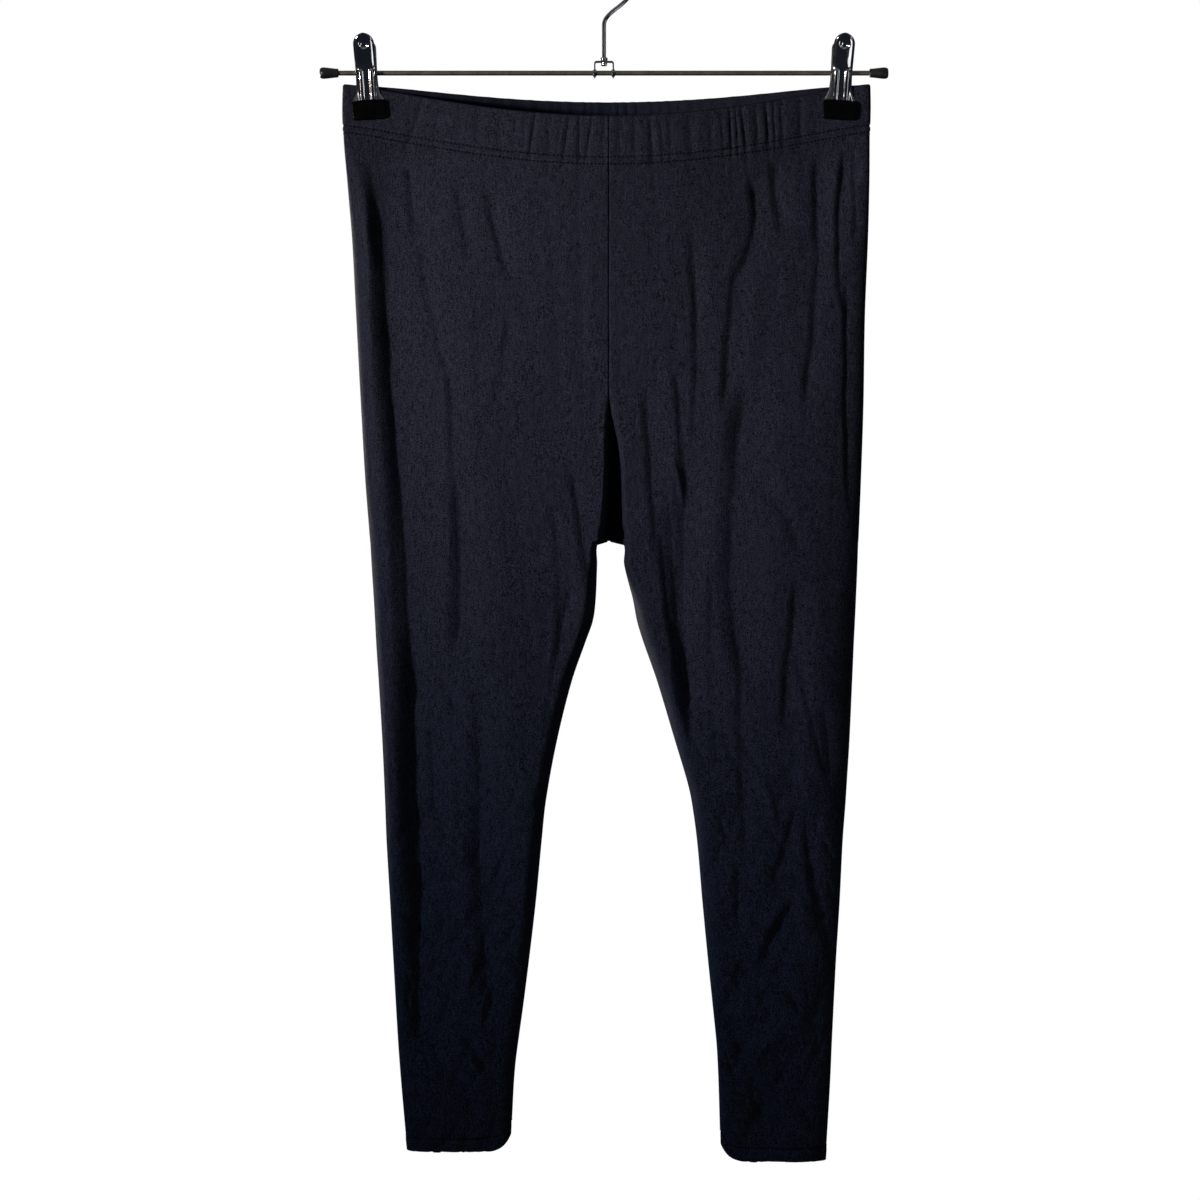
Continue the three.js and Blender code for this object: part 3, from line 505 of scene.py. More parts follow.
def mesh_piece(name, points, faces, own=None):
    """A mesh object from points in millimetres and lists of faces. own is the place in the UV map of each point. Edges
    sharper than 40 degrees stay sharp, and the rest is shaded smooth."""
    used, numbers = np.unique(np.concatenate([f.ravel() for f in faces]), return_inverse=True)
    sizes = np.concatenate([np.full(len(f), f.shape[1]) for f in faces])
    mesh = bpy.data.meshes.new(name)
    mesh.vertices.add(len(used))
    mesh.vertices.foreach_set("co", (points[used] * MM).ravel())
    mesh.loops.add(len(numbers))
    mesh.loops.foreach_set("vertex_index", numbers.ravel())
    mesh.polygons.add(len(sizes))
    mesh.polygons.foreach_set("loop_start", np.concatenate([[0], np.cumsum(sizes)[:-1]]))
    mesh.polygons.foreach_set("use_smooth", np.ones(len(sizes), bool))
    mesh.update(calc_edges=True)
    mesh.validate()
    mesh.set_sharp_from_angle(angle=math.radians(40))
    if own is not None:
        mesh.uv_layers.new(name="cloth").data.foreach_set("uv", own[used][numbers].ravel())
    piece = bpy.data.objects.new(name, mesh)
    bpy.context.collection.objects.link(piece)
    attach(piece, "root")
    return piece


def quads_of(index, turned=False):
    """The quads of a grid of point numbers. Turned, they face the other way."""
    quads = np.stack([index[:-1, :-1], index[1:, :-1], index[1:, 1:], index[:-1, 1:]], -1).reshape(-1, 4)
    return quads[:, ::-1] if turned else quads


def cloth_wall(name, side, outer, normals, own, ring_from):
    """A closed wall of cloth under an outer grid. The inside has every second point of the grid, a wall's thickness
    further in than the deepest of the points around it. The top, the bottom, and the two upright edges above the row
    where the tube begins are closed by faces of five corners, two edges of the outside to one of the inside."""
    rows, columns = outer.shape[:2]
    padded = np.pad(outer, ((1, 1), (1, 1), (0, 0)), mode="edge")
    around = [padded[i:i + rows, j:j + columns] for i in range(3) for j in range(3)]
    sunk = np.max([np.sum((outer - other) * normals, axis=-1) for other in around], axis=0)
    inner = outer - normals * (JERSEY_WALL + np.clip(sunk, 0, 3))[..., None]
    index = np.arange(rows * columns).reshape(rows, columns)
    index[ring_from:, -1] = index[ring_from:, 0]
    inside = rows * columns + np.arange(index[::2, ::2].size).reshape(index[::2, ::2].shape)
    inside[ring_from // 2:, -1] = inside[ring_from // 2:, 0]
    upper, half = slice(0, ring_from + 1), slice(0, ring_from // 2 + 1)
    right = side == "right"
    faces = [quads_of(index, right), quads_of(inside, not right)]
    for fine, coarse, turned in (
        (index[0], inside[0], right),
        (index[-1], inside[-1], not right),
        (index[upper, 0], inside[half, 0], not right),
        (index[upper, -1], inside[half, -1], right),
    ):
        rim = np.stack([coarse[:-1], fine[:-2:2], fine[1:-1:2], fine[2::2], coarse[1:]], -1)
        faces.append(rim[:, ::-1] if turned else rim)
    points = np.concatenate([outer.reshape(-1, 3), inner[::2, ::2].reshape(-1, 3)])
    return mesh_piece(name, points, faces, np.concatenate([own.reshape(-1, 2), own[::2, ::2].reshape(-1, 2)]))


def fine_knit():
    """The jersey's knit as a node group. Along the cloth's own coordinates, each wale is a half round and its stitches
    are slanted ridges, in mirrored pairs that make small Vs. Noise of three sizes varies the yarn's tone and height,
    and the tone is also lighter where the yarn stands high and darker between the loops, as painted shade."""
    group = bpy.data.node_groups.new("fine_knit", "ShaderNodeTree")
    for socket, value in (("Wale", 0.00055), ("Course", 0.0004), ("Melange", 0.2)):
        group.interface.new_socket(socket, in_out="INPUT", socket_type="NodeSocketFloat").default_value = value
    for socket in ("Height", "Tone_and_painted_shade", "Fuzz"):
        group.interface.new_socket(socket, in_out="OUTPUT", socket_type="NodeSocketFloat")
    nodes, links = group.nodes, group.links
    given, result = nodes.new("NodeGroupInput"), nodes.new("NodeGroupOutput")
    own = nodes.new("ShaderNodeUVMap")
    own.uv_map = "cloth"
    parts = nodes.new("ShaderNodeSeparateXYZ")
    links.new(own.outputs["UV"], parts.inputs[0])

    def sum_of(operation, a, b=0.0, c=0.0):
        node = nodes.new("ShaderNodeMath")
        node.operation = operation
        for socket, value in zip(node.inputs, (a, b, c)):
            if isinstance(value, (int, float)):
                socket.default_value = value
            else:
                links.new(value, socket)
        return node.outputs[0]

    def noise(scale, detail, stretch=1.0):
        """Noise on Object coordinates, scale bumps a metre, drawn out upwards by stretch."""
        place = nodes.new("ShaderNodeTexCoord")
        mapping = nodes.new("ShaderNodeMapping")
        mapping.inputs["Scale"].default_value = (1, 1, 1 / stretch)
        texture = nodes.new("ShaderNodeTexNoise")
        texture.inputs["Scale"].default_value = scale
        texture.inputs["Detail"].default_value = detail
        links.new(place.outputs["Object"], mapping.inputs["Vector"])
        links.new(mapping.outputs[0], texture.inputs["Vector"])
        return texture.outputs["Fac"]

    wale = sum_of("DIVIDE", parts.outputs[0], given.outputs["Wale"])
    across = sum_of("ABSOLUTE", sum_of("SUBTRACT", sum_of("FRACT", wale), 0.5))
    half_round = sum_of("SQRT", sum_of("SUBTRACT", 1.0, sum_of("POWER", sum_of("MULTIPLY", across, 2.0), 2.0)))
    course = sum_of("ADD", sum_of("DIVIDE", parts.outputs[1], given.outputs["Course"]), across)
    loop = sum_of("MULTIPLY_ADD", sum_of("SINE", sum_of("MULTIPLY", course, 2 * math.pi)), 0.25, 0.75)
    grain, blotch, streak = noise(1250, 0), noise(150, 2), noise(800, 0, 5)
    yarn = sum_of("MULTIPLY", half_round, loop)
    links.new(sum_of("MULTIPLY_ADD", grain, 0.9, yarn), result.inputs["Height"])
    mixed = sum_of("MULTIPLY_ADD", streak, 0.3, sum_of("MULTIPLY_ADD", blotch, 0.04, grain))
    spread = sum_of("MULTIPLY", sum_of("SUBTRACT", mixed, 0.67), given.outputs["Melange"])
    # The tone: random melange, plus painted shade that darkens the yarn between its loops and lightens its crowns.
    links.new(sum_of("ADD", sum_of("MULTIPLY", yarn, 0.35), sum_of("ADD", spread, 0.78)), result.inputs["Tone_and_painted_shade"])
    links.new(sum_of("MULTIPLY_ADD", blotch, 0.16, 0.66), result.inputs["Fuzz"])
    return group


KNIT = fine_knit()


def knit_material(name, colour, wale, course, melange, depth, sheen, specular):
    """A knitted cloth: its colour times the knit's tone, which holds painted shade between the loops, a bump from the
    knit's height, and a soft sheen of fibre ends.
    """
    material = bpy.data.materials.new(name)
    material.use_nodes = True
    nodes, links = material.node_tree.nodes, material.node_tree.links
    shader = nodes["Principled BSDF"]
    knit = nodes.new("ShaderNodeGroup")
    knit.node_tree = KNIT
    knit.inputs["Wale"].default_value = wale
    knit.inputs["Course"].default_value = course
    knit.inputs["Melange"].default_value = melange
    tint = nodes.new("ShaderNodeMix")
    tint.data_type = "RGBA"
    tint.blend_type = "MULTIPLY"
    tint.inputs["Factor"].default_value = 1
    tint.inputs[6].default_value = (*colour, 1)
    links.new(knit.outputs["Tone_and_painted_shade"], tint.inputs[7])
    links.new(tint.outputs[2], shader.inputs["Base Color"])
    links.new(knit.outputs["Fuzz"], shader.inputs["Roughness"])
    bump = nodes.new("ShaderNodeBump")
    bump.inputs["Strength"].default_value = 0.5
    bump.inputs["Distance"].default_value = depth
    links.new(knit.outputs["Height"], bump.inputs["Height"])
    links.new(bump.outputs[0], shader.inputs["Normal"])
    shader.inputs["Specular IOR Level"].default_value = specular
    shader.inputs["Sheen Weight"].default_value = sheen
    shader.inputs["Sheen Roughness"].default_value = 0.45
    shader.inputs["Sheen Tint"].default_value = (0.62, 0.68, 0.9, 1)
    return material


JERSEY = knit_material("black_jersey", (0.0078, 0.0082, 0.0138), 0.00055, 0.0004, 3.8, 0.00012, 0.02, 0.05)
LEG_COLUMNS = 301
UPPER_ROWS = 106
LOWER_ROWS = 152
SEAM_GROOVE = 1.1
legs = {}
for side in ("right", "left"):
    above = np.linspace(BAND_HEIGHT - 0.8, CROTCH_DOWN, UPPER_ROWS + 1)[:-1]
    below = np.append(CROTCH_DOWN, np.linspace(CROTCH_DOWN + 1.2, LEG_LENGTH[side] + 0.8, LOWER_ROWS))
    points, normals, own = cloth_grid(side, LEG_COLUMNS, np.concatenate([above, below]), UPPER_ROWS)
    sewn = np.zeros((len(above) + len(below), LEG_COLUMNS, 1))
    sewn[:UPPER_ROWS, [0, -1]] = SEAM_GROOVE
    sewn[:UPPER_ROWS, [1, -2]] = 0.35 * SEAM_GROOVE
    legs[side] = cloth_wall(f"leg_panel_{side}", side, points - normals * sewn, normals, own, UPPER_ROWS)
    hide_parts(f"leg_{side}")
    legs[side].data.materials.append(JERSEY)

# The waistband. The top of the jersey is turned down inside over flat elastic, which draws it into puckers, and two
# rows of stitches hold the turned edge. Each half is sewn into the centre seams with its leg.
BAND_WALL = 3.0
BAND_PROUD = 0.5
BAND_COLUMNS = 361
BAND_ROWS_DOWN = (33.0, 38.6)
BAND_SWELL = 0.35


def fold_profile(start, end, wall, proud, fold_at_end, steps):
    """A doubled edge cut across, as rows of (down, offset from the cloth's face): up the inside, half round at the fold,
    and down the outside, or the other way about where the fold is at the lower end."""
    radius = wall / 2
    turn = np.linspace(-math.pi / 2, math.pi / 2, 11)
    if fold_at_end:
        fold = np.stack([end - radius + radius * np.cos(turn), proud - radius - radius * np.sin(turn)], 1)
        face = np.linspace(start, end - radius, steps)[:-1]
        outside = np.stack([face, np.full(len(face), proud)], 1)
        inside = np.stack([face[::-1], np.full(len(face), proud - wall)], 1)
        return np.concatenate([outside, fold, inside])
    fold = np.stack([start + radius - radius * np.cos(turn), proud - radius + radius * np.sin(turn)], 1)
    face = np.linspace(start + radius, end, steps)[1:]
    inside = np.stack([face[::-1], np.full(len(face), proud - wall)], 1)
    outside = np.stack([face, np.full(len(face), proud)], 1)
    return np.concatenate([inside, fold, outside])


def doubled_edge(name, side, profile, columns, ring, dents):
    """A turned edge of cloth: the profile carried round the panel. dents(down) gives how far the outside dips at each
    level. An open half is capped at both centre seams, and a ring closes on itself."""
    levels, at = np.unique(profile[:, 0].round(4), return_inverse=True)
    points, normals, own = cloth_grid(side, columns, levels, 0 if ring else len(levels))
    outside = profile[:, 1] > profile[:, 1].mean()
    offset = profile[:, 1] - np.where(outside, dents(profile[:, 0]), 0)
    offset = np.repeat(offset[:, None], columns, 1)
    offset[:, [0, -1]] -= np.where(outside, 0.9, 0)[:, None]
    offset[:, [1, -2]] -= np.where(outside, 0.3, 0)[:, None]
    grid = points[at] + normals[at] * offset[..., None]
    if ring:
        grid[:, -1] = grid[:, 0]
    index = np.arange(grid.shape[0] * columns).reshape(grid.shape[:2])
    if ring:
        index[:, -1] = index[:, 0]
    round_it = np.concatenate([index, index[:1]])
    right = side == "right"
    faces = [quads_of(round_it, right)]
    if not ring:
        ends = (index[:, 0], index[::-1, -1]) if right else (index[::-1, 0], index[:, -1])
        faces += [end[None, :] for end in ends]
    edge = mesh_piece(name, grid.reshape(-1, 3), faces, own[at].reshape(-1, 2))
    # The inside of the turned edge takes the jersey's back, which is duller and also a little darker as painted shade.
    # The strip along the very top of the fold takes it too, as a painted shadow line.
    back_and_painted_shade = ~outside | (profile[:, 0] < profile[0 if ring else -1, 0] - 60) | (profile[:, 0] < 0.7)
    inside = np.zeros(len(edge.data.polygons), int)
    inside[:index.shape[0] * (columns - 1)] = np.repeat(back_and_painted_shade, columns - 1)
    edge.data.materials.append(JERSEY)
    edge.data.materials.append(JERSEY_BACK_AND_PAINTED_SHADE)
    edge.data.polygons.foreach_set("material_index", inside)
    return edge


def row_dents(rows, depth, width):
    """The groove that each row of stitches pulls into the cloth."""
    return lambda down: sum(depth * np.exp(-(((down - row) / width) ** 2)) for row in rows)


def stitch_row(name, side, down, lift, ring, pitch=3.1, length=2.3, width=1.1, height=0.5):
    """One row of stitches: small capsules laid end to end along a level of the cloth, each dipping at both ends. One
    capsule is a grid of rings, and a copy of it stands in the frame of every place along the row."""
    levels = [down - 0.5, down, down + 0.5]
    points, normals, _ = cloth_grid(side, 601, levels, 0 if ring else 3)
    line, up = points[1] + normals[1] * lift, normals[1]
    run = np.concatenate([[0], np.cumsum(np.linalg.norm(np.diff(line, axis=0), axis=1))])
    places = np.arange(pitch / 2, run[-1] - pitch / 4, pitch)
    at = lambda values, where: np.stack([np.interp(where, run, values[:, k]) for k in range(3)], -1)
    along = at(line, places + 0.8) - at(line, places - 0.8)
    along /= np.linalg.norm(along, axis=1, keepdims=True)
    up = at(up, places)
    up -= along * np.sum(up * along, axis=1, keepdims=True)
    up /= np.linalg.norm(up, axis=1, keepdims=True)
    beside = np.cross(up, along)
    t = np.linspace(-1, 1, 5)[:, None]
    angle = np.linspace(0, 2 * math.pi, 6, endpoint=False)[None, :]
    girth = np.sqrt(1 - 0.85 * t * t)
    capsule = np.stack([
        np.broadcast_to(t * length / 2, (5, 6)),
        girth * np.cos(angle) * width / 2,
        girth * np.sin(angle) * height / 2 - 0.3 * t * t,
    ], -1).reshape(-1, 3)
    frames = np.stack([along, beside, up], 1)
    grid = at(line, places)[:, None] + np.einsum("kp,npq->nkq", capsule.T[:, :].T, frames)
    index = np.arange(30).reshape(5, 6)
    sides = quads_of(np.concatenate([index, index[:, :1]], 1), True)
    step = 30 * np.arange(len(places))[:, None, None]
    faces = [(sides + step).reshape(-1, 4), (index[None, :1] + step).reshape(-1, 6)]
    faces.append((index[None, 4:, ::-1] + step).reshape(-1, 6))
    row = mesh_piece(name, grid.reshape(-1, 3), faces)
    row.data.materials.append(THREAD)
    return row


def thread_material():
    """Black sewing thread: twisted strands as fine slanted bands in the bump, a little glossier than the cloth."""
    material = bpy.data.materials.new("black_thread")
    material.use_nodes = True
    nodes, links = material.node_tree.nodes, material.node_tree.links
    shader = nodes["Principled BSDF"]
    place, ply, fibre = (nodes.new(f"ShaderNode{kind}") for kind in ("TexCoord", "TexWave", "TexNoise"))
    ply.inputs["Scale"].default_value = 900
    ply.inputs["Distortion"].default_value = 1.5
    ply.bands_direction = "DIAGONAL"
    fibre.inputs["Scale"].default_value = 2500
    colours = nodes.new("ShaderNodeValToRGB")
    colours.color_ramp.elements[0].color = (0.0003, 0.0003, 0.0006, 1)
    colours.color_ramp.elements[1].color = (0.0012, 0.0012, 0.002, 1)
    bump = nodes.new("ShaderNodeBump")
    bump.inputs["Strength"].default_value = 0.6
    bump.inputs["Distance"].default_value = 0.00008
    for texture in (ply, fibre):
        links.new(place.outputs["Object"], texture.inputs["Vector"])
    links.new(ply.outputs["Fac"], bump.inputs["Height"])
    links.new(bump.outputs[0], shader.inputs["Normal"])
    links.new(fibre.outputs["Fac"], colours.inputs["Fac"])
    links.new(colours.outputs["Color"], shader.inputs["Base Color"])
    shader.inputs["Roughness"].default_value = 0.55
    shader.inputs["Specular IOR Level"].default_value = 0.02
    return material


THREAD = thread_material()
# The jersey's back: duller than the face, and a little darker as painted shade. It goes on the insides of the turned
# edges, and as a painted shadow line along the band's top.
JERSEY_BACK_AND_PAINTED_SHADE = knit_material("black_jersey_back_and_painted_shade", (0.0068, 0.0072, 0.0118), 0.00058, 0.00042, 1.6, 0.00012, 0, 0.02)
on_leg = {"right": [], "left": []}
for side in ("right", "left"):
    profile = fold_profile(0, BAND_HEIGHT, BAND_WALL, BAND_PROUD, False, 42)
    grooves = row_dents(BAND_ROWS_DOWN, 0.9, 0.8)
    dents = lambda down: grooves(down) - BAND_SWELL * np.sin(math.pi * np.clip(down / BAND_ROWS_DOWN[0], 0, 1))
    band = doubled_edge(f"band_{side}", side, profile, BAND_COLUMNS, False, dents)
    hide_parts(f"waistband_{side}")
    rows = [
        stitch_row(f"band_stitches_{place}_{side}", side, down, BAND_PROUD - 0.5, False)
        for place, down in zip(("upper", "lower"), BAND_ROWS_DOWN)
    ]
    on_leg[side] += [band, *rows]

# The hems. The end of each leg is turned up inside and held by a row of stitches along the turned edge.
HEM_HEIGHT = 12.0
HEM_WALL = 2.2
HEM_PROUD = 0.4
HEM_COLUMNS = 221
for side in ("right", "left"):
    top = LEG_LENGTH[side]
    profile = fold_profile(top, top + HEM_HEIGHT + 0.3, HEM_WALL, HEM_PROUD, True, 14)
    hem = doubled_edge(f"hem_fold_{side}", side, profile, HEM_COLUMNS, True, row_dents((top + 1.6,), 0.6, 0.8))
    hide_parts(f"hem_{side}")
    on_leg[side] += [hem, stitch_row(f"hem_stitches_{side}", side, top + 1.6, HEM_PROUD - 0.35, True)]

# The hanger's rod is a straight chromed steel wire, 4 mm thick. All the rest of the hanger is threaded on it.
HANGER_WIDTH = 455.0
ROD_RADIUS = 2.0
ROD_Z = -98.0
CAP_LENGTH = 15.0
CAP_BORE_DEPTH = 12.0


def skin(name, rings, closed=False, turned=False):
    """A closed skin over a row of rings of points, given as an array of rings by points by three. The first and last
    rings are filled in, or joined to each other where the row closes on itself."""
    count, points = rings.shape[:2]
    index = np.arange(count * points).reshape(count, points)
    grid = np.concatenate([index, index[:, :1]], 1)
    if closed:
        grid = np.concatenate([grid, grid[:1]])
    faces = [quads_of(grid, turned)]
    if not closed:
        faces += [index[:1], index[-1:, ::-1]] if not turned else [index[:1, ::-1], index[-1:]]
    return mesh_piece(name, rings.reshape(-1, 3), faces)


def lathed(name, profile, axis, steps=40):
    """A turned shape: rings of radius r at the height h for each row (r, h) of the profile, about an axis from its
    origin in its direction."""
    origin, direction = (np.array(v, float) for v in axis)
    side_way = np.array([0.0, 1.0, 0.0])
    third = np.cross(direction, side_way)
    radius, height = np.array(profile, float).T
    angle = np.linspace(0, 2 * math.pi, steps, endpoint=False)
    ring = np.cos(angle)[:, None] * side_way + np.sin(angle)[:, None] * third
    rings = origin + height[:, None, None] * direction + radius[:, None, None] * ring
    return skin(name, rings)


def bent_wire(name, line, radius, beside, steps=20):
    """A round wire along a line of points. beside is a direction square to the line everywhere. The wire's ends are
    rounded by shrinking the last rings on a quarter of a circle."""
    along = np.gradient(line, axis=0)
    along /= np.linalg.norm(along, axis=1, keepdims=True)
    beside = np.broadcast_to(np.array(beside, float), line.shape)
    up = np.cross(along, beside)
    up /= np.linalg.norm(up, axis=1, keepdims=True)
    beside = np.cross(up, along)
    run = np.concatenate([[0], np.cumsum(np.linalg.norm(np.diff(line, axis=0), axis=1))])
    from_end = np.minimum(run, run[-1] - run)
    girth = radius * np.sqrt(np.clip(1 - (1 - np.minimum(from_end / radius, 1)) ** 2, 0.01, 1))
    angle = np.linspace(0, 2 * math.pi, steps, endpoint=False)[None, :, None]
    rings = line[:, None] + girth[:, None, None] * (np.cos(angle) * beside[:, None] + np.sin(angle) * up[:, None])
    return skin(name, rings)


def handling_marks():
    """Wear of a handled surface as a node group: fine scratches, as thin bands of stretched noise, and soft smudges."""
    group = bpy.data.node_groups.new("handling_marks", "ShaderNodeTree")
    for socket, value in (("Scratch scale", 300), ("Smudge scale", 60), ("Roughness", 0.1), ("Spread", 0.1)):
        group.interface.new_socket(socket, in_out="INPUT", socket_type="NodeSocketFloat").default_value = value
    for socket in ("Roughness", "Height"):
        group.interface.new_socket(socket, in_out="OUTPUT", socket_type="NodeSocketFloat")
    nodes, links = group.nodes, group.links
    given, result = nodes.new("NodeGroupInput"), nodes.new("NodeGroupOutput")
    place, stretch = nodes.new("ShaderNodeTexCoord"), nodes.new("ShaderNodeMapping")
    stretch.inputs["Rotation"].default_value = (0.4, 0.9, 0.3)
    stretch.inputs["Scale"].default_value = (1, 14, 9)
    scratch, smudge = nodes.new("ShaderNodeTexNoise"), nodes.new("ShaderNodeTexNoise")
    scratch.inputs["Detail"].default_value = 4
    links.new(place.outputs["Object"], stretch.inputs["Vector"])
    links.new(stretch.outputs[0], scratch.inputs["Vector"])
    links.new(place.outputs["Object"], smudge.inputs["Vector"])
    links.new(given.outputs["Scratch scale"], scratch.inputs["Scale"])
    links.new(given.outputs["Smudge scale"], smudge.inputs["Scale"])
    thin = nodes.new("ShaderNodeMapRange")
    thin.inputs["From Min"].default_value = 0.6
    thin.inputs["From Max"].default_value = 0.72
    links.new(scratch.outputs["Fac"], thin.inputs["Value"])
    spread = nodes.new("ShaderNodeMath")
    spread.operation = "MULTIPLY_ADD"
    links.new(smudge.outputs["Fac"], spread.inputs[0])
    links.new(given.outputs["Spread"], spread.inputs[1])
    links.new(given.outputs["Roughness"], spread.inputs[2])
    worn = nodes.new("ShaderNodeMath")
    worn.operation = "MULTIPLY_ADD"
    worn.inputs[1].default_value = 0.12
    links.new(thin.outputs[0], worn.inputs[0])
    links.new(spread.outputs[0], worn.inputs[2])
    links.new(worn.outputs[0], result.inputs["Roughness"])
    links.new(thin.outputs[0], result.inputs["Height"])
    return group


MARKS = handling_marks()


def hard_material(name, dark, light, metallic, marks, depth, specular=0.5):
    """A hard finish: two close tones mixed by soft noise, with the handling marks in its roughness and bump."""
    material = bpy.data.materials.new(name)
    material.use_nodes = True
    nodes, links = material.node_tree.nodes, material.node_tree.links
    shader = nodes["Principled BSDF"]
    wear = nodes.new("ShaderNodeGroup")
    wear.node_tree = MARKS
    for socket, value in zip(("Scratch scale", "Smudge scale", "Roughness", "Spread"), marks):
        wear.inputs[socket].default_value = value
    place, mottle = nodes.new("ShaderNodeTexCoord"), nodes.new("ShaderNodeTexNoise")
    mottle.inputs["Scale"].default_value = 140
    mottle.inputs["Detail"].default_value = 3
    tones = nodes.new("ShaderNodeValToRGB")
    tones.color_ramp.elements[0].position = 0.35
    tones.color_ramp.elements[0].color = (*dark, 1)
    tones.color_ramp.elements[1].position = 0.65
    tones.color_ramp.elements[1].color = (*light, 1)
    bump = nodes.new("ShaderNodeBump")
    bump.inputs["Strength"].default_value = 0.35
    bump.inputs["Distance"].default_value = depth
    links.new(place.outputs["Object"], mottle.inputs["Vector"])
    links.new(mottle.outputs["Fac"], tones.inputs["Fac"])
    links.new(tones.outputs["Color"], shader.inputs["Base Color"])
    links.new(wear.outputs["Roughness"], shader.inputs["Roughness"])
    links.new(wear.outputs["Height"], bump.inputs["Height"])
    links.new(bump.outputs[0], shader.inputs["Normal"])
    shader.inputs["Metallic"].default_value = metallic
    shader.inputs["Specular IOR Level"].default_value = specular
    return material


CHROME = hard_material("polished_chrome", (0.5, 0.5, 0.52), (0.6, 0.6, 0.62), 1, (300, 60, 0.05, 0.08), 0.00001)
ROD_STEEL = hard_material(
    "worn_rod_steel", (0.2, 0.185, 0.16), (0.27, 0.25, 0.22), 1, (300, 60, 0.34, 0.12), 0.00001)
rod_end = HANGER_WIDTH / 2 - (CAP_LENGTH - CAP_BORE_DEPTH) - 0.3
rod_line = np.linspace((-rod_end, 0, ROD_Z), (rod_end, 0, ROD_Z), 240)
rod = bent_wire("rod", rod_line, ROD_RADIUS, (0, 1, 0), 32)
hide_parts("hanger_rod")
rod.data.materials.append(ROD_STEEL)

# The rod's caps are moulded black plastic, pushed on over its two ends so that a clip can't slide off.
CAP_PROFILE = (
    (2.15, 1.2), (2.15, 0.3), (2.4, 0), (3.1, 0), (3.4, 0.16), (3.5, 0.45), (3.54, 1.3), (3.72, 3.4), (4.1, 6.6),
    (4.42, 9.4), (4.58, 11), (4.58, 12.2), (4.4, 13.3), (4.02, 14.15), (3.4, 14.7), (2.5, 14.93), (1.2, 15), (0.1, 15),
)
PLASTIC = hard_material(
    "black_plastic", (0.0045, 0.0045, 0.0045), (0.008, 0.008, 0.0085), 0, (900, 150, 0.3, 0.16), 0.00003, 0.4)
for side, mirror in MIRROR.items():
    start = (mirror * (HANGER_WIDTH / 2 - CAP_LENGTH), 0, ROD_Z)
    cap = lathed(f"end_cap_{side}", CAP_PROFILE, (start, (mirror, 0, 0)))
    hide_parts(f"rod_cap_{side}")
    cap.data.materials.append(PLASTIC)

# The stirrup is a strip of chromed steel, bent to three sides. Its two ears ride on the rod in pressed eyelets, and its
# bridge holds the foot of the hook.
STIRRUP_HALF = 8.0
STIRRUP_BRIDGE = 9.6
STIRRUP_DEPTH = 5.0
STIRRUP_STRIP = 1.2
STIRRUP_TAIL = 4.0


def strip_corner(centre, radius, start, end):
    """Points on a bend of the strip: an arc about a centre in the rod's plane."""
    angle = np.radians(np.linspace(start, end, 9))
    return np.stack([centre[0] + radius * np.cos(angle), centre[1] + radius * np.sin(angle)], 1)


mid = STIRRUP_STRIP / 2
bend = 1.6
side_x, bridge_z = STIRRUP_HALF - mid, STIRRUP_BRIDGE - mid
left_ear = np.stack([np.full(14, -side_x), np.linspace(-STIRRUP_TAIL, bridge_z - bend, 14)], 1)
right_ear = left_ear[::-1] * (-1, 1)
bends = (
    strip_corner((-side_x + bend, bridge_z - bend), bend, 180, 90),
    strip_corner((side_x - bend, bridge_z - bend), bend, 90, 0),
)
strip = np.concatenate([left_ear[:-1], bends[0], bends[1], right_ear[1:]])
way = np.gradient(strip, axis=0)
way /= np.linalg.norm(way, axis=1, keepdims=True)
out_of_it = np.stack([-way[:, 1], way[:, 0]], 1)
run = np.concatenate([[0], np.cumsum(np.linalg.norm(np.diff(strip, axis=0), axis=1))])
from_tail = np.minimum(run, run[-1] - run)
half_depth = STIRRUP_DEPTH / 2 * np.sqrt(np.clip(1 - (1 - np.minimum(from_tail / 2.2, 1)) ** 2, 0.04, 1))
corner = np.array([(1, 0.6), (0.88, 1), (-0.88, 1), (-1, 0.6), (-1, -0.6), (-0.88, -1), (0.88, -1), (1, -0.6)])
depth_way, wall_way = corner[:, 0], corner[:, 1] * mid
rings = np.stack([
    strip[:, :1] + out_of_it[:, :1] * wall_way,
    half_depth[:, None] * depth_way,
    ROD_Z + strip[:, 1:] + out_of_it[:, 1:] * wall_way,
], -1)
stirrup = skin("stirrup_strip", rings, turned=True)
EYELET = ((2.2, -1.3), (2.75, -1.35), (2.95, -1.1), (2.8, -0.7), (2.8, 0.7), (2.95, 1.1), (2.75, 1.35), (2.2, 1.3))
stirrup_pieces = [stirrup]
for side, mirror in MIRROR.items():
    stirrup_pieces.append(lathed(f"stirrup_eyelet_{side}", EYELET, ((mirror * side_x, 0, ROD_Z), (1, 0, 0))))
for piece in stirrup_pieces:
    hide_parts("stirrup")
    piece.data.materials.append(CHROME)

# The hook is bent from one chromed wire: a straight stem, a swan neck to the side, and a round crown that goes over the
# rail. A collar above the bridge and a rivet head below it let it turn in the stirrup.
HOOK_WIRE_RADIUS = 1.65
HOOK_RADIUS = 24.4
HOOK_CENTRE_Z = HOOK_WIRE_RADIUS - HOOK_RADIUS
HOOK_ENTRY = math.radians(-43)
HOOK_END = math.radians(196)
STEM_TOP_Z = -60.0
BRIDGE_Z = ROD_Z + STIRRUP_BRIDGE


def on_crown(angle):
    """Places on the hook's round crown, an arc in the plane y = 0."""
    angle = np.atleast_1d(angle)
    return np.stack([HOOK_RADIUS * np.cos(angle), 0 * angle, HOOK_CENTRE_Z + HOOK_RADIUS * np.sin(angle)], 1)


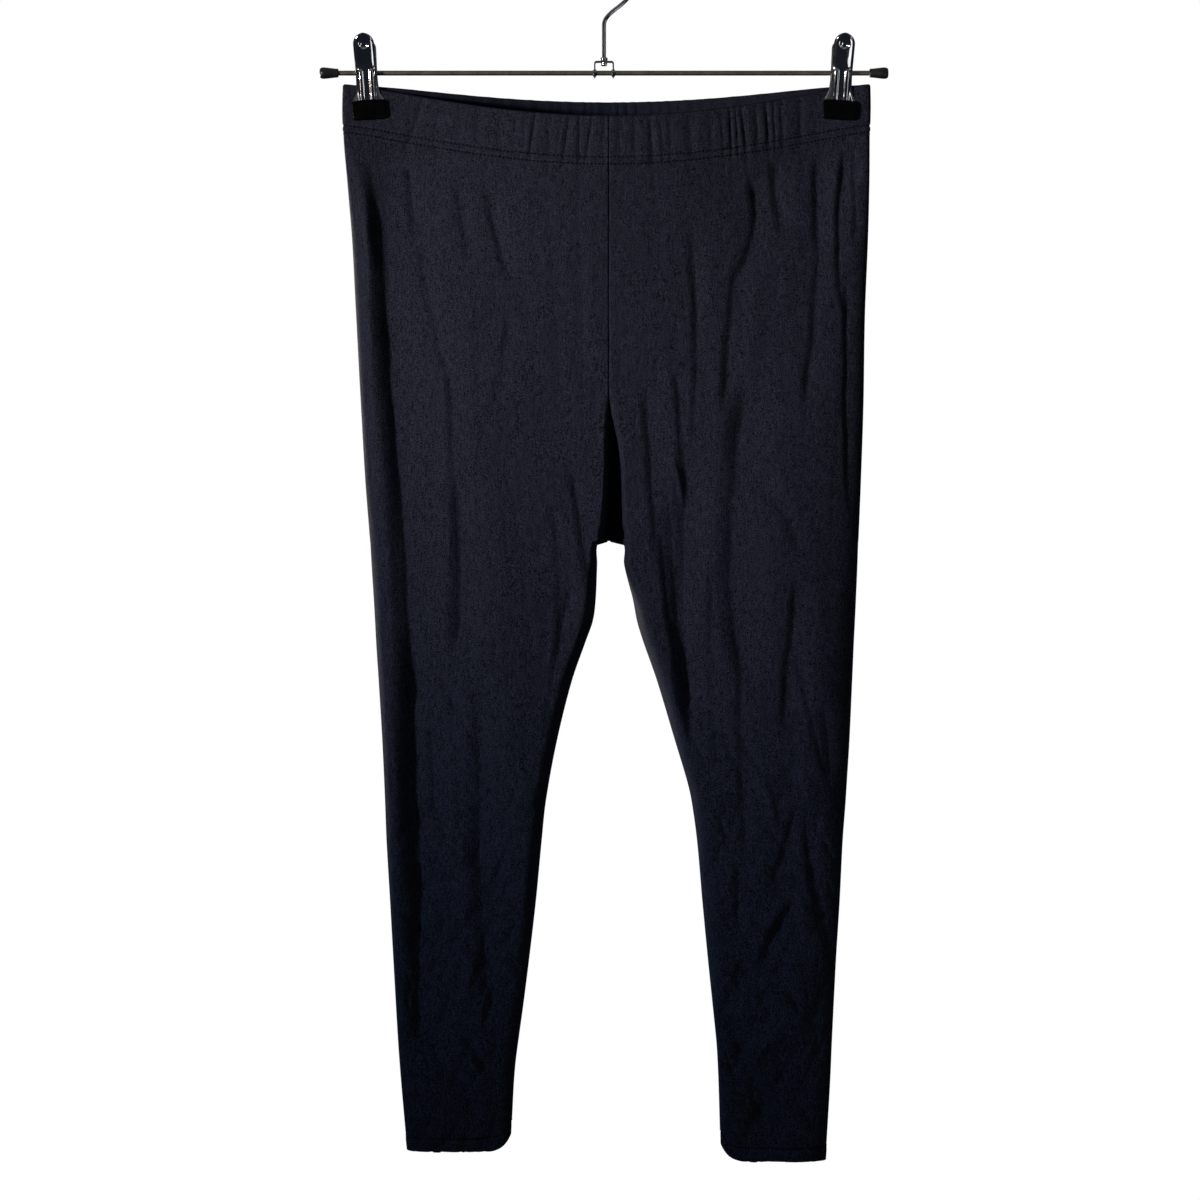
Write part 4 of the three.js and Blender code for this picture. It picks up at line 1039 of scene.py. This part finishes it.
stem = np.linspace((0, 0, BRIDGE_Z - 3), (0, 0, STEM_TOP_Z), 40)
entry = on_crown(HOOK_ENTRY)[0]
heading = np.array([-math.sin(HOOK_ENTRY), 0, math.cos(HOOK_ENTRY)])
handles = np.array([(0, 0, STEM_TOP_Z), (0, 0, STEM_TOP_Z + 9), entry - 11 * heading, entry])
t = np.linspace(0, 1, 41)[1:, None]
weights = np.concatenate([(1 - t) ** 3, 3 * t * (1 - t) ** 2, 3 * t * t * (1 - t), t**3], 1)
tip = HOOK_END - np.linspace(0.12, 0, 12)
crown = on_crown(np.concatenate([np.linspace(HOOK_ENTRY, HOOK_END - 0.13, 90)[1:], tip]))
wire = bent_wire("hook_wire", np.concatenate([stem, weights @ handles, crown]), HOOK_WIRE_RADIUS, (0, 1, 0), 28)
COLLAR = (
    (1.6, 0.3), (2.3, 0.32), (2.85, 0.7), (3.05, 1.4), (2.95, 2.1), (2.5, 2.7), (2.0, 3), (1.6, 3.05),
)
RIVET = ((1.6, -4), (1.9, -3.95), (2.35, -3.6), (2.6, -3), (2.6, -2.2), (2.4, -1.6), (1.6, -1.5))
hook_pieces = [wire]
for name, shape in (("hook_collar", COLLAR), ("hook_rivet", RIVET)):
    hook_pieces.append(lathed(name, shape, ((0, 0, BRIDGE_Z), (0, 0, 1)), 32))
for piece in hook_pieces:
    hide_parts("hook")
    piece.data.materials.append(CHROME)

# The clips. Each has two pressed steel plates that pivot on the rod with bent ears, a coil spring round the rod that
# presses their jaws together, and a soft plastic pad dipped over each jaw.
CLIP_OUT = 190.0
CLIP_TILT = math.radians(4)
PLATE = rows_of(
    ("z", "stand", "half"),
    (-22.2, 6.8, 13.2),
    (-19.6, 6.8, 11.6),
    (-17, 6.9, 10),
    (-12, 7, 8.9),
    (-4, 7.4, 8.4),
    (4, 8.8, 8.4),
    (12, 12.6, 8.4),
    (21.6, 16.6, 8.4),
    (25.6, 18.2, 8.4),
    (29.6, 19.2, 8.4),
)
DOME_FROM = 21.2
PLATE_TOP = 29.6
PLATE_WALL = 1.1
PLATE_CROWN = 1.6
RIB_OUT = 4.4
RIB_HALF = 1.9
RIB_RISE = 1.1
RIB_TOP = 1.5
DIMPLE_Z = 21.0
PAD_TOP = -22.5
PAD_END = -38.2
PAD_HALF = 13.4
PAD_INSIDE = 3.6
PAD_THICKNESS = 3.8
EAR_OUT = {"front": 7.4, "back": 6.1}


def in_clip(points, mirror, face):
    """Puts points of a clip's own frame in place: the back half is turned half round, the clip tilts with the pull of
    the cloth, and moves out along the rod."""
    if face == "back":
        points = points * (-1, -1, 1)
    c, s = math.cos(mirror * CLIP_TILT), math.sin(mirror * CLIP_TILT)
    x, y, z = np.moveaxis(points, -1, 0)
    return np.stack([mirror * CLIP_OUT + c * x + s * z, y, ROD_Z - s * x + c * z], -1)


def plate_rings():
    """The plate cut at many levels, each as a ring round its wall. Its face is crowned across, its edges roll back, two
    ribs stand out of it from the rod down to the pad, and a round dimple is pressed in near the top. The top is a half
    circle."""
    z = np.concatenate([np.linspace(-22.2, DOME_FROM, 110), DOME_FROM + 8.4 * np.sin(np.linspace(0, 1.55, 26))[1:]])
    c = np.sin(np.linspace(-math.pi / 2, math.pi / 2, 61))
    half = level(PLATE, "half", z) * np.sqrt(np.clip(1 - ((z - DOME_FROM).clip(0) / 8.42) ** 2, 0.003, 1))
    x = half[:, None] * c
    rib = np.exp(-(((np.abs(x) - RIB_OUT) / RIB_HALF) ** 4))
    ribs = RIB_RISE * rib * (1 - smooth(RIB_TOP - 1.5, RIB_TOP + 1.5, z))[:, None]
    dimple = 1.9 * np.exp(-((x**2 + (z[:, None] - DIMPLE_Z) ** 2) / 3.4**2) ** 2)
    rolled = 1.5 * np.abs(c) ** 7
    y = -level(PLATE, "stand", z)[:, None] + PLATE_CROWN * (x / 8.4) ** 2 * 0.6 + rolled - ribs + dimple
    high = np.broadcast_to(z[:, None], x.shape)
    face = np.stack([x, y, high], -1)
    back = np.stack([x * 0.93, y + PLATE_WALL * (1 - 0.25 * np.abs(c) ** 7), high], -1)
    return np.concatenate([face, back[:, ::-1]], 1)


def pad_rings():
    """The pad as rings of its outline, from the jaw's inside to its outside, drawn in along a quarter round at both
    faces. On the outside the rings shrink to a small moulded mark in the middle, across a slightly swollen face."""
    angle = np.linspace(0, 2 * math.pi, 96, endpoint=False)
    mid_z, half_z = (PAD_TOP + PAD_END) / 2, (PAD_TOP - PAD_END) / 2
    power = 2 / 7.5
    outline = np.stack([np.sign(np.cos(angle)) * np.abs(np.cos(angle)) ** power,
                        np.sign(np.sin(angle)) * np.abs(np.sin(angle)) ** power], 1)
    turn = np.linspace(0, math.pi / 2, 7)
    inset = np.concatenate([1.0 - 1.0 * np.sin(turn), 1.2 - 1.2 * np.cos(turn)])
    deep = np.concatenate([-PAD_INSIDE - 1.0 + 1.0 * np.cos(turn), -PAD_INSIDE - PAD_THICKNESS + 1.2 - 1.2 * np.sin(turn)])
    edge = np.stack([outline[:, 0] * (PAD_HALF - inset[:, None]), np.broadcast_to(deep[:, None], (14, 96)),
                     mid_z + outline[:, 1] * (half_z - inset[:, None])], -1)
    shrink = np.linspace(0, 1, 12)[1:, None, None]
    mark = np.stack([0.9 * np.cos(angle), 0 * angle, 0.9 * np.sin(angle)], 1) + (0, 0, mid_z)
    face = edge[-1] * (1 - shrink) + mark * shrink
    face[:, :, 1] = -PAD_INSIDE - PAD_THICKNESS - 0.35 * np.sin(math.pi / 2 * shrink[:, :, 0])
    sunk = mark * (0.8, 1, 1) + (0, -PAD_INSIDE - PAD_THICKNESS - 0.1, 0)
    return np.concatenate([edge, face, sunk[None]])


def ear_rings(out, face):
    """A bent ear of the plate: a flat ring round the rod whose outer edge runs out to the plate. The ring's edge is at
    4.2 mm from the rod, or where it meets the plate's back, whichever is further."""
    angle = np.linspace(0, 2 * math.pi, 64, endpoint=False)
    to_plate = np.clip(-np.cos(angle), 0, 1)
    reach = np.minimum(7.2 / np.maximum(to_plate, 0.05), 4.6 / np.maximum(np.abs(np.sin(angle)), 0.05))
    outer = np.where(to_plate > 0.2, np.maximum(4.2, reach), 4.2)
    section = np.array([(0, -0.5), (0, 0.5), (0.9, 0.5), (1, 0.3), (1, -0.3), (0.9, -0.5)])
    radius = 2.9 + (outer[:, None] - 2.9) * section[:, 0]
    return np.stack([out + np.broadcast_to(section[:, 1], radius.shape),
                     radius * np.cos(angle)[:, None], radius * np.sin(angle)[:, None]], -1)


def spring_line():
    """The spring's wire: six turns round the rod, and a straight leg from each end up the inside of a plate."""
    turns = np.linspace(0, 6, 200)
    angle = math.pi + 2 * math.pi * turns
    coil = np.stack([-3.6 + 7.2 * turns / 6, 3.45 * np.cos(angle), 3.45 * np.sin(angle)], 1)
    first = np.linspace((-3.6, -10.6, 12.5), (-3.6, -3.75, 1.2), 10)
    last = np.linspace((3.6, -3.75, 1.2), (3.6, -10.6, 12.5), 10) * (1, -1, 1)
    end = coil[turns <= 5.5]
    end[:, 0] = -3.6 + 7.2 * turns[turns <= 5.5] / 5.5
    return np.concatenate([first, end, last])


PAD_VINYL = hard_material(
    "dipped_vinyl", (0.0005, 0.0006, 0.0005), (0.001, 0.0012, 0.0011), 0, (700, 90, 0.2, 0.16), 0.00002, 0.05)
for side, mirror in MIRROR.items():
    for face in ("front", "back"):
        plate = skin(f"plate_{face}_{side}", in_clip(plate_rings(), mirror, face), turned=False)
        ears = [
            skin(f"ear_{face}_{where}_{side}", in_clip(ear_rings(x * EAR_OUT[face], face), mirror, face), closed=True)
            for where, x in (("inner", -mirror), ("outer", mirror))
        ]
        for piece in (plate, *ears):
            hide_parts(f"clip_plate_{face}_{side}")
            piece.data.materials.append(CHROME)
        pad = skin(f"pad_{face}_{side}", in_clip(pad_rings(), mirror, face))
        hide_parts(f"clip_pad_{face}_{side}")
        pad.data.materials.append(PAD_VINYL)
    coil_line = spring_line()
    spring = bent_wire(f"spring_{side}", in_clip(coil_line, mirror, "front"), 0.42, (1, 0.02, 0.01), 10)
    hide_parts(f"clip_spring_{side}")
    spring.data.materials.append(CHROME)

# The studio: a pale floor, a warm key on the hips and a cooler window light from the front left, the same two from
# behind, small cards for the chrome, and the camera where the photograph was taken. What a shiny thing sees around it
# is dim, so that the chrome is dark between its highlights.
FLOOR_Z = -1.05
floor_mesh = bpy.data.meshes.new("floor")
floor_mesh.from_pydata([(-6, -6, FLOOR_Z), (6, -6, FLOOR_Z), (6, 6, FLOOR_Z), (-6, 6, FLOOR_Z)], [], [(0, 1, 2, 3)])
floor = bpy.data.objects.new("floor", floor_mesh)
bpy.context.collection.objects.link(floor)
floor.visible_diffuse = False
floor.visible_glossy = False
pale = bpy.data.materials.new("pale_floor")
pale.use_nodes = True
pale_shader = pale.node_tree.nodes["Principled BSDF"]
pale_shader.inputs["Base Color"].default_value = (0.06, 0.06, 0.06, 1)
pale_shader.inputs["Roughness"].default_value = 0.9
pale_shader.inputs["Specular IOR Level"].default_value = 0
pale_shader.inputs["Emission Color"].default_value = (1, 1, 1, 1)
pale_shader.inputs["Emission Strength"].default_value = 1
floor_mesh.materials.append(pale)

scene = bpy.context.scene
world = bpy.data.worlds.new("studio")
world.use_nodes = True
scene.world = world
nodes, links = world.node_tree.nodes, world.node_tree.links
background = nodes["Background"]
seen = nodes.new("ShaderNodeBackground")
seen.inputs["Color"].default_value = (1, 1, 1, 1)
seen.inputs["Strength"].default_value = 1
way, height, tones = (nodes.new(f"ShaderNode{kind}") for kind in ("TexCoord", "SeparateXYZ", "ValToRGB"))
tones.color_ramp.elements[0].position = 0.56
tones.color_ramp.elements[0].color = (0.012, 0.016, 0.022, 1)
tones.color_ramp.elements[1].position = 0.95
tones.color_ramp.elements[1].color = (0.2, 0.205, 0.215, 1)
lift = nodes.new("ShaderNodeMath")
lift.operation = "MULTIPLY_ADD"
lift.inputs[1].default_value = 0.5
lift.inputs[2].default_value = 0.5
links.new(way.outputs["Generated"], height.inputs[0])
links.new(height.outputs["Z"], lift.inputs[0])
links.new(lift.outputs[0], tones.inputs["Fac"])
links.new(tones.outputs["Color"], background.inputs["Color"])
ray, choose = nodes.new("ShaderNodeLightPath"), nodes.new("ShaderNodeMixShader")
dim = nodes.new("ShaderNodeMath")
dim.operation = "MULTIPLY_ADD"
dim.inputs[1].default_value = -0.8
dim.inputs[2].default_value = 1
links.new(ray.outputs["Is Diffuse Ray"], dim.inputs[0])
links.new(dim.outputs[0], background.inputs["Strength"])
links.new(ray.outputs["Is Camera Ray"], choose.inputs[0])
links.new(background.outputs[0], choose.inputs[1])
links.new(seen.outputs[0], choose.inputs[2])
links.new(choose.outputs[0], nodes["World Output"].inputs["Surface"])


def soft_box(name, place, aim, size, power, colour=(1, 1, 1)):
    """A rectangular soft light at a place, turned to an aim. Without a size it is a spot, which fades to its edge."""
    lamp = bpy.data.lights.new(name, "AREA" if size else "SPOT")
    if size:
        lamp.shape = "RECTANGLE"
        lamp.size, lamp.size_y = size
    else:
        lamp.spot_blend = 1
        lamp.shadow_soft_size = 0.22
    lamp.energy = power
    lamp.color = colour
    box = bpy.data.objects.new(name, lamp)
    box.location = place
    box.rotation_euler = (Vector(aim) - Vector(place)).to_track_quat("-Z", "Y").to_euler()
    box.visible_camera = False
    bpy.context.collection.objects.link(box)
    return box


key = soft_box("key", (-3.1, -2.6, -0.45), (0.13, 0, -0.12), None, 1080, (1, 0.87, 0.74))
key.data.spot_size = math.radians(17)
window = soft_box("window", (-3.2, -2.6, -0.4), (0.02, 0, -0.47), None, 600, (0.52, 0.77, 1))
window.data.spot_size = math.radians(18)
window.visible_glossy = False
front = soft_box("front", (0.2, -2.4, -0.5), (0, 0, -0.5), (1.0, 1.6), 4.6, (0.66, 0.84, 1))
front.visible_glossy = False
soft_box("left_card", (-1.8, -1.3, -0.15), (0, 0, -0.12), (0.22, 0.8), 1.2)
soft_box("right_card", (1.7, -1.2, -0.15), (0, 0, -0.12), (0.3, 0.9), 1.8)
soft_box("low_card", (0.75, -0.9, -0.95), (0, 0, -0.1), (0.5, 0.5), 1.4)
back_key = soft_box("back_key", (-2.7, 2.9, -0.45), (0.05, 0, -0.1), None, 800, (1, 0.88, 0.77))
back_key.data.spot_size = math.radians(17)
back_window = soft_box("back_window", (-2.8, 2.8, -0.4), (0, 0, -0.47), None, 480, (0.52, 0.77, 1))
back_window.data.spot_size = math.radians(18)
back_window.visible_glossy = False
soft_box("back_card", (-1.7, 1.2, -0.1), (0, 0, -0.12), (0.3, 0.9), 1.8)

eye = bpy.data.cameras.new("camera")
eye.sensor_width = 36
eye.lens = 112.5
camera = bpy.data.objects.new("camera", eye)
camera.location = (-0.0032, -3.0, -0.5195)
camera.rotation_euler = (math.pi / 2, 0, 0)
bpy.context.collection.objects.link(camera)
scene.camera = camera
scene.view_settings.view_transform = "Standard"

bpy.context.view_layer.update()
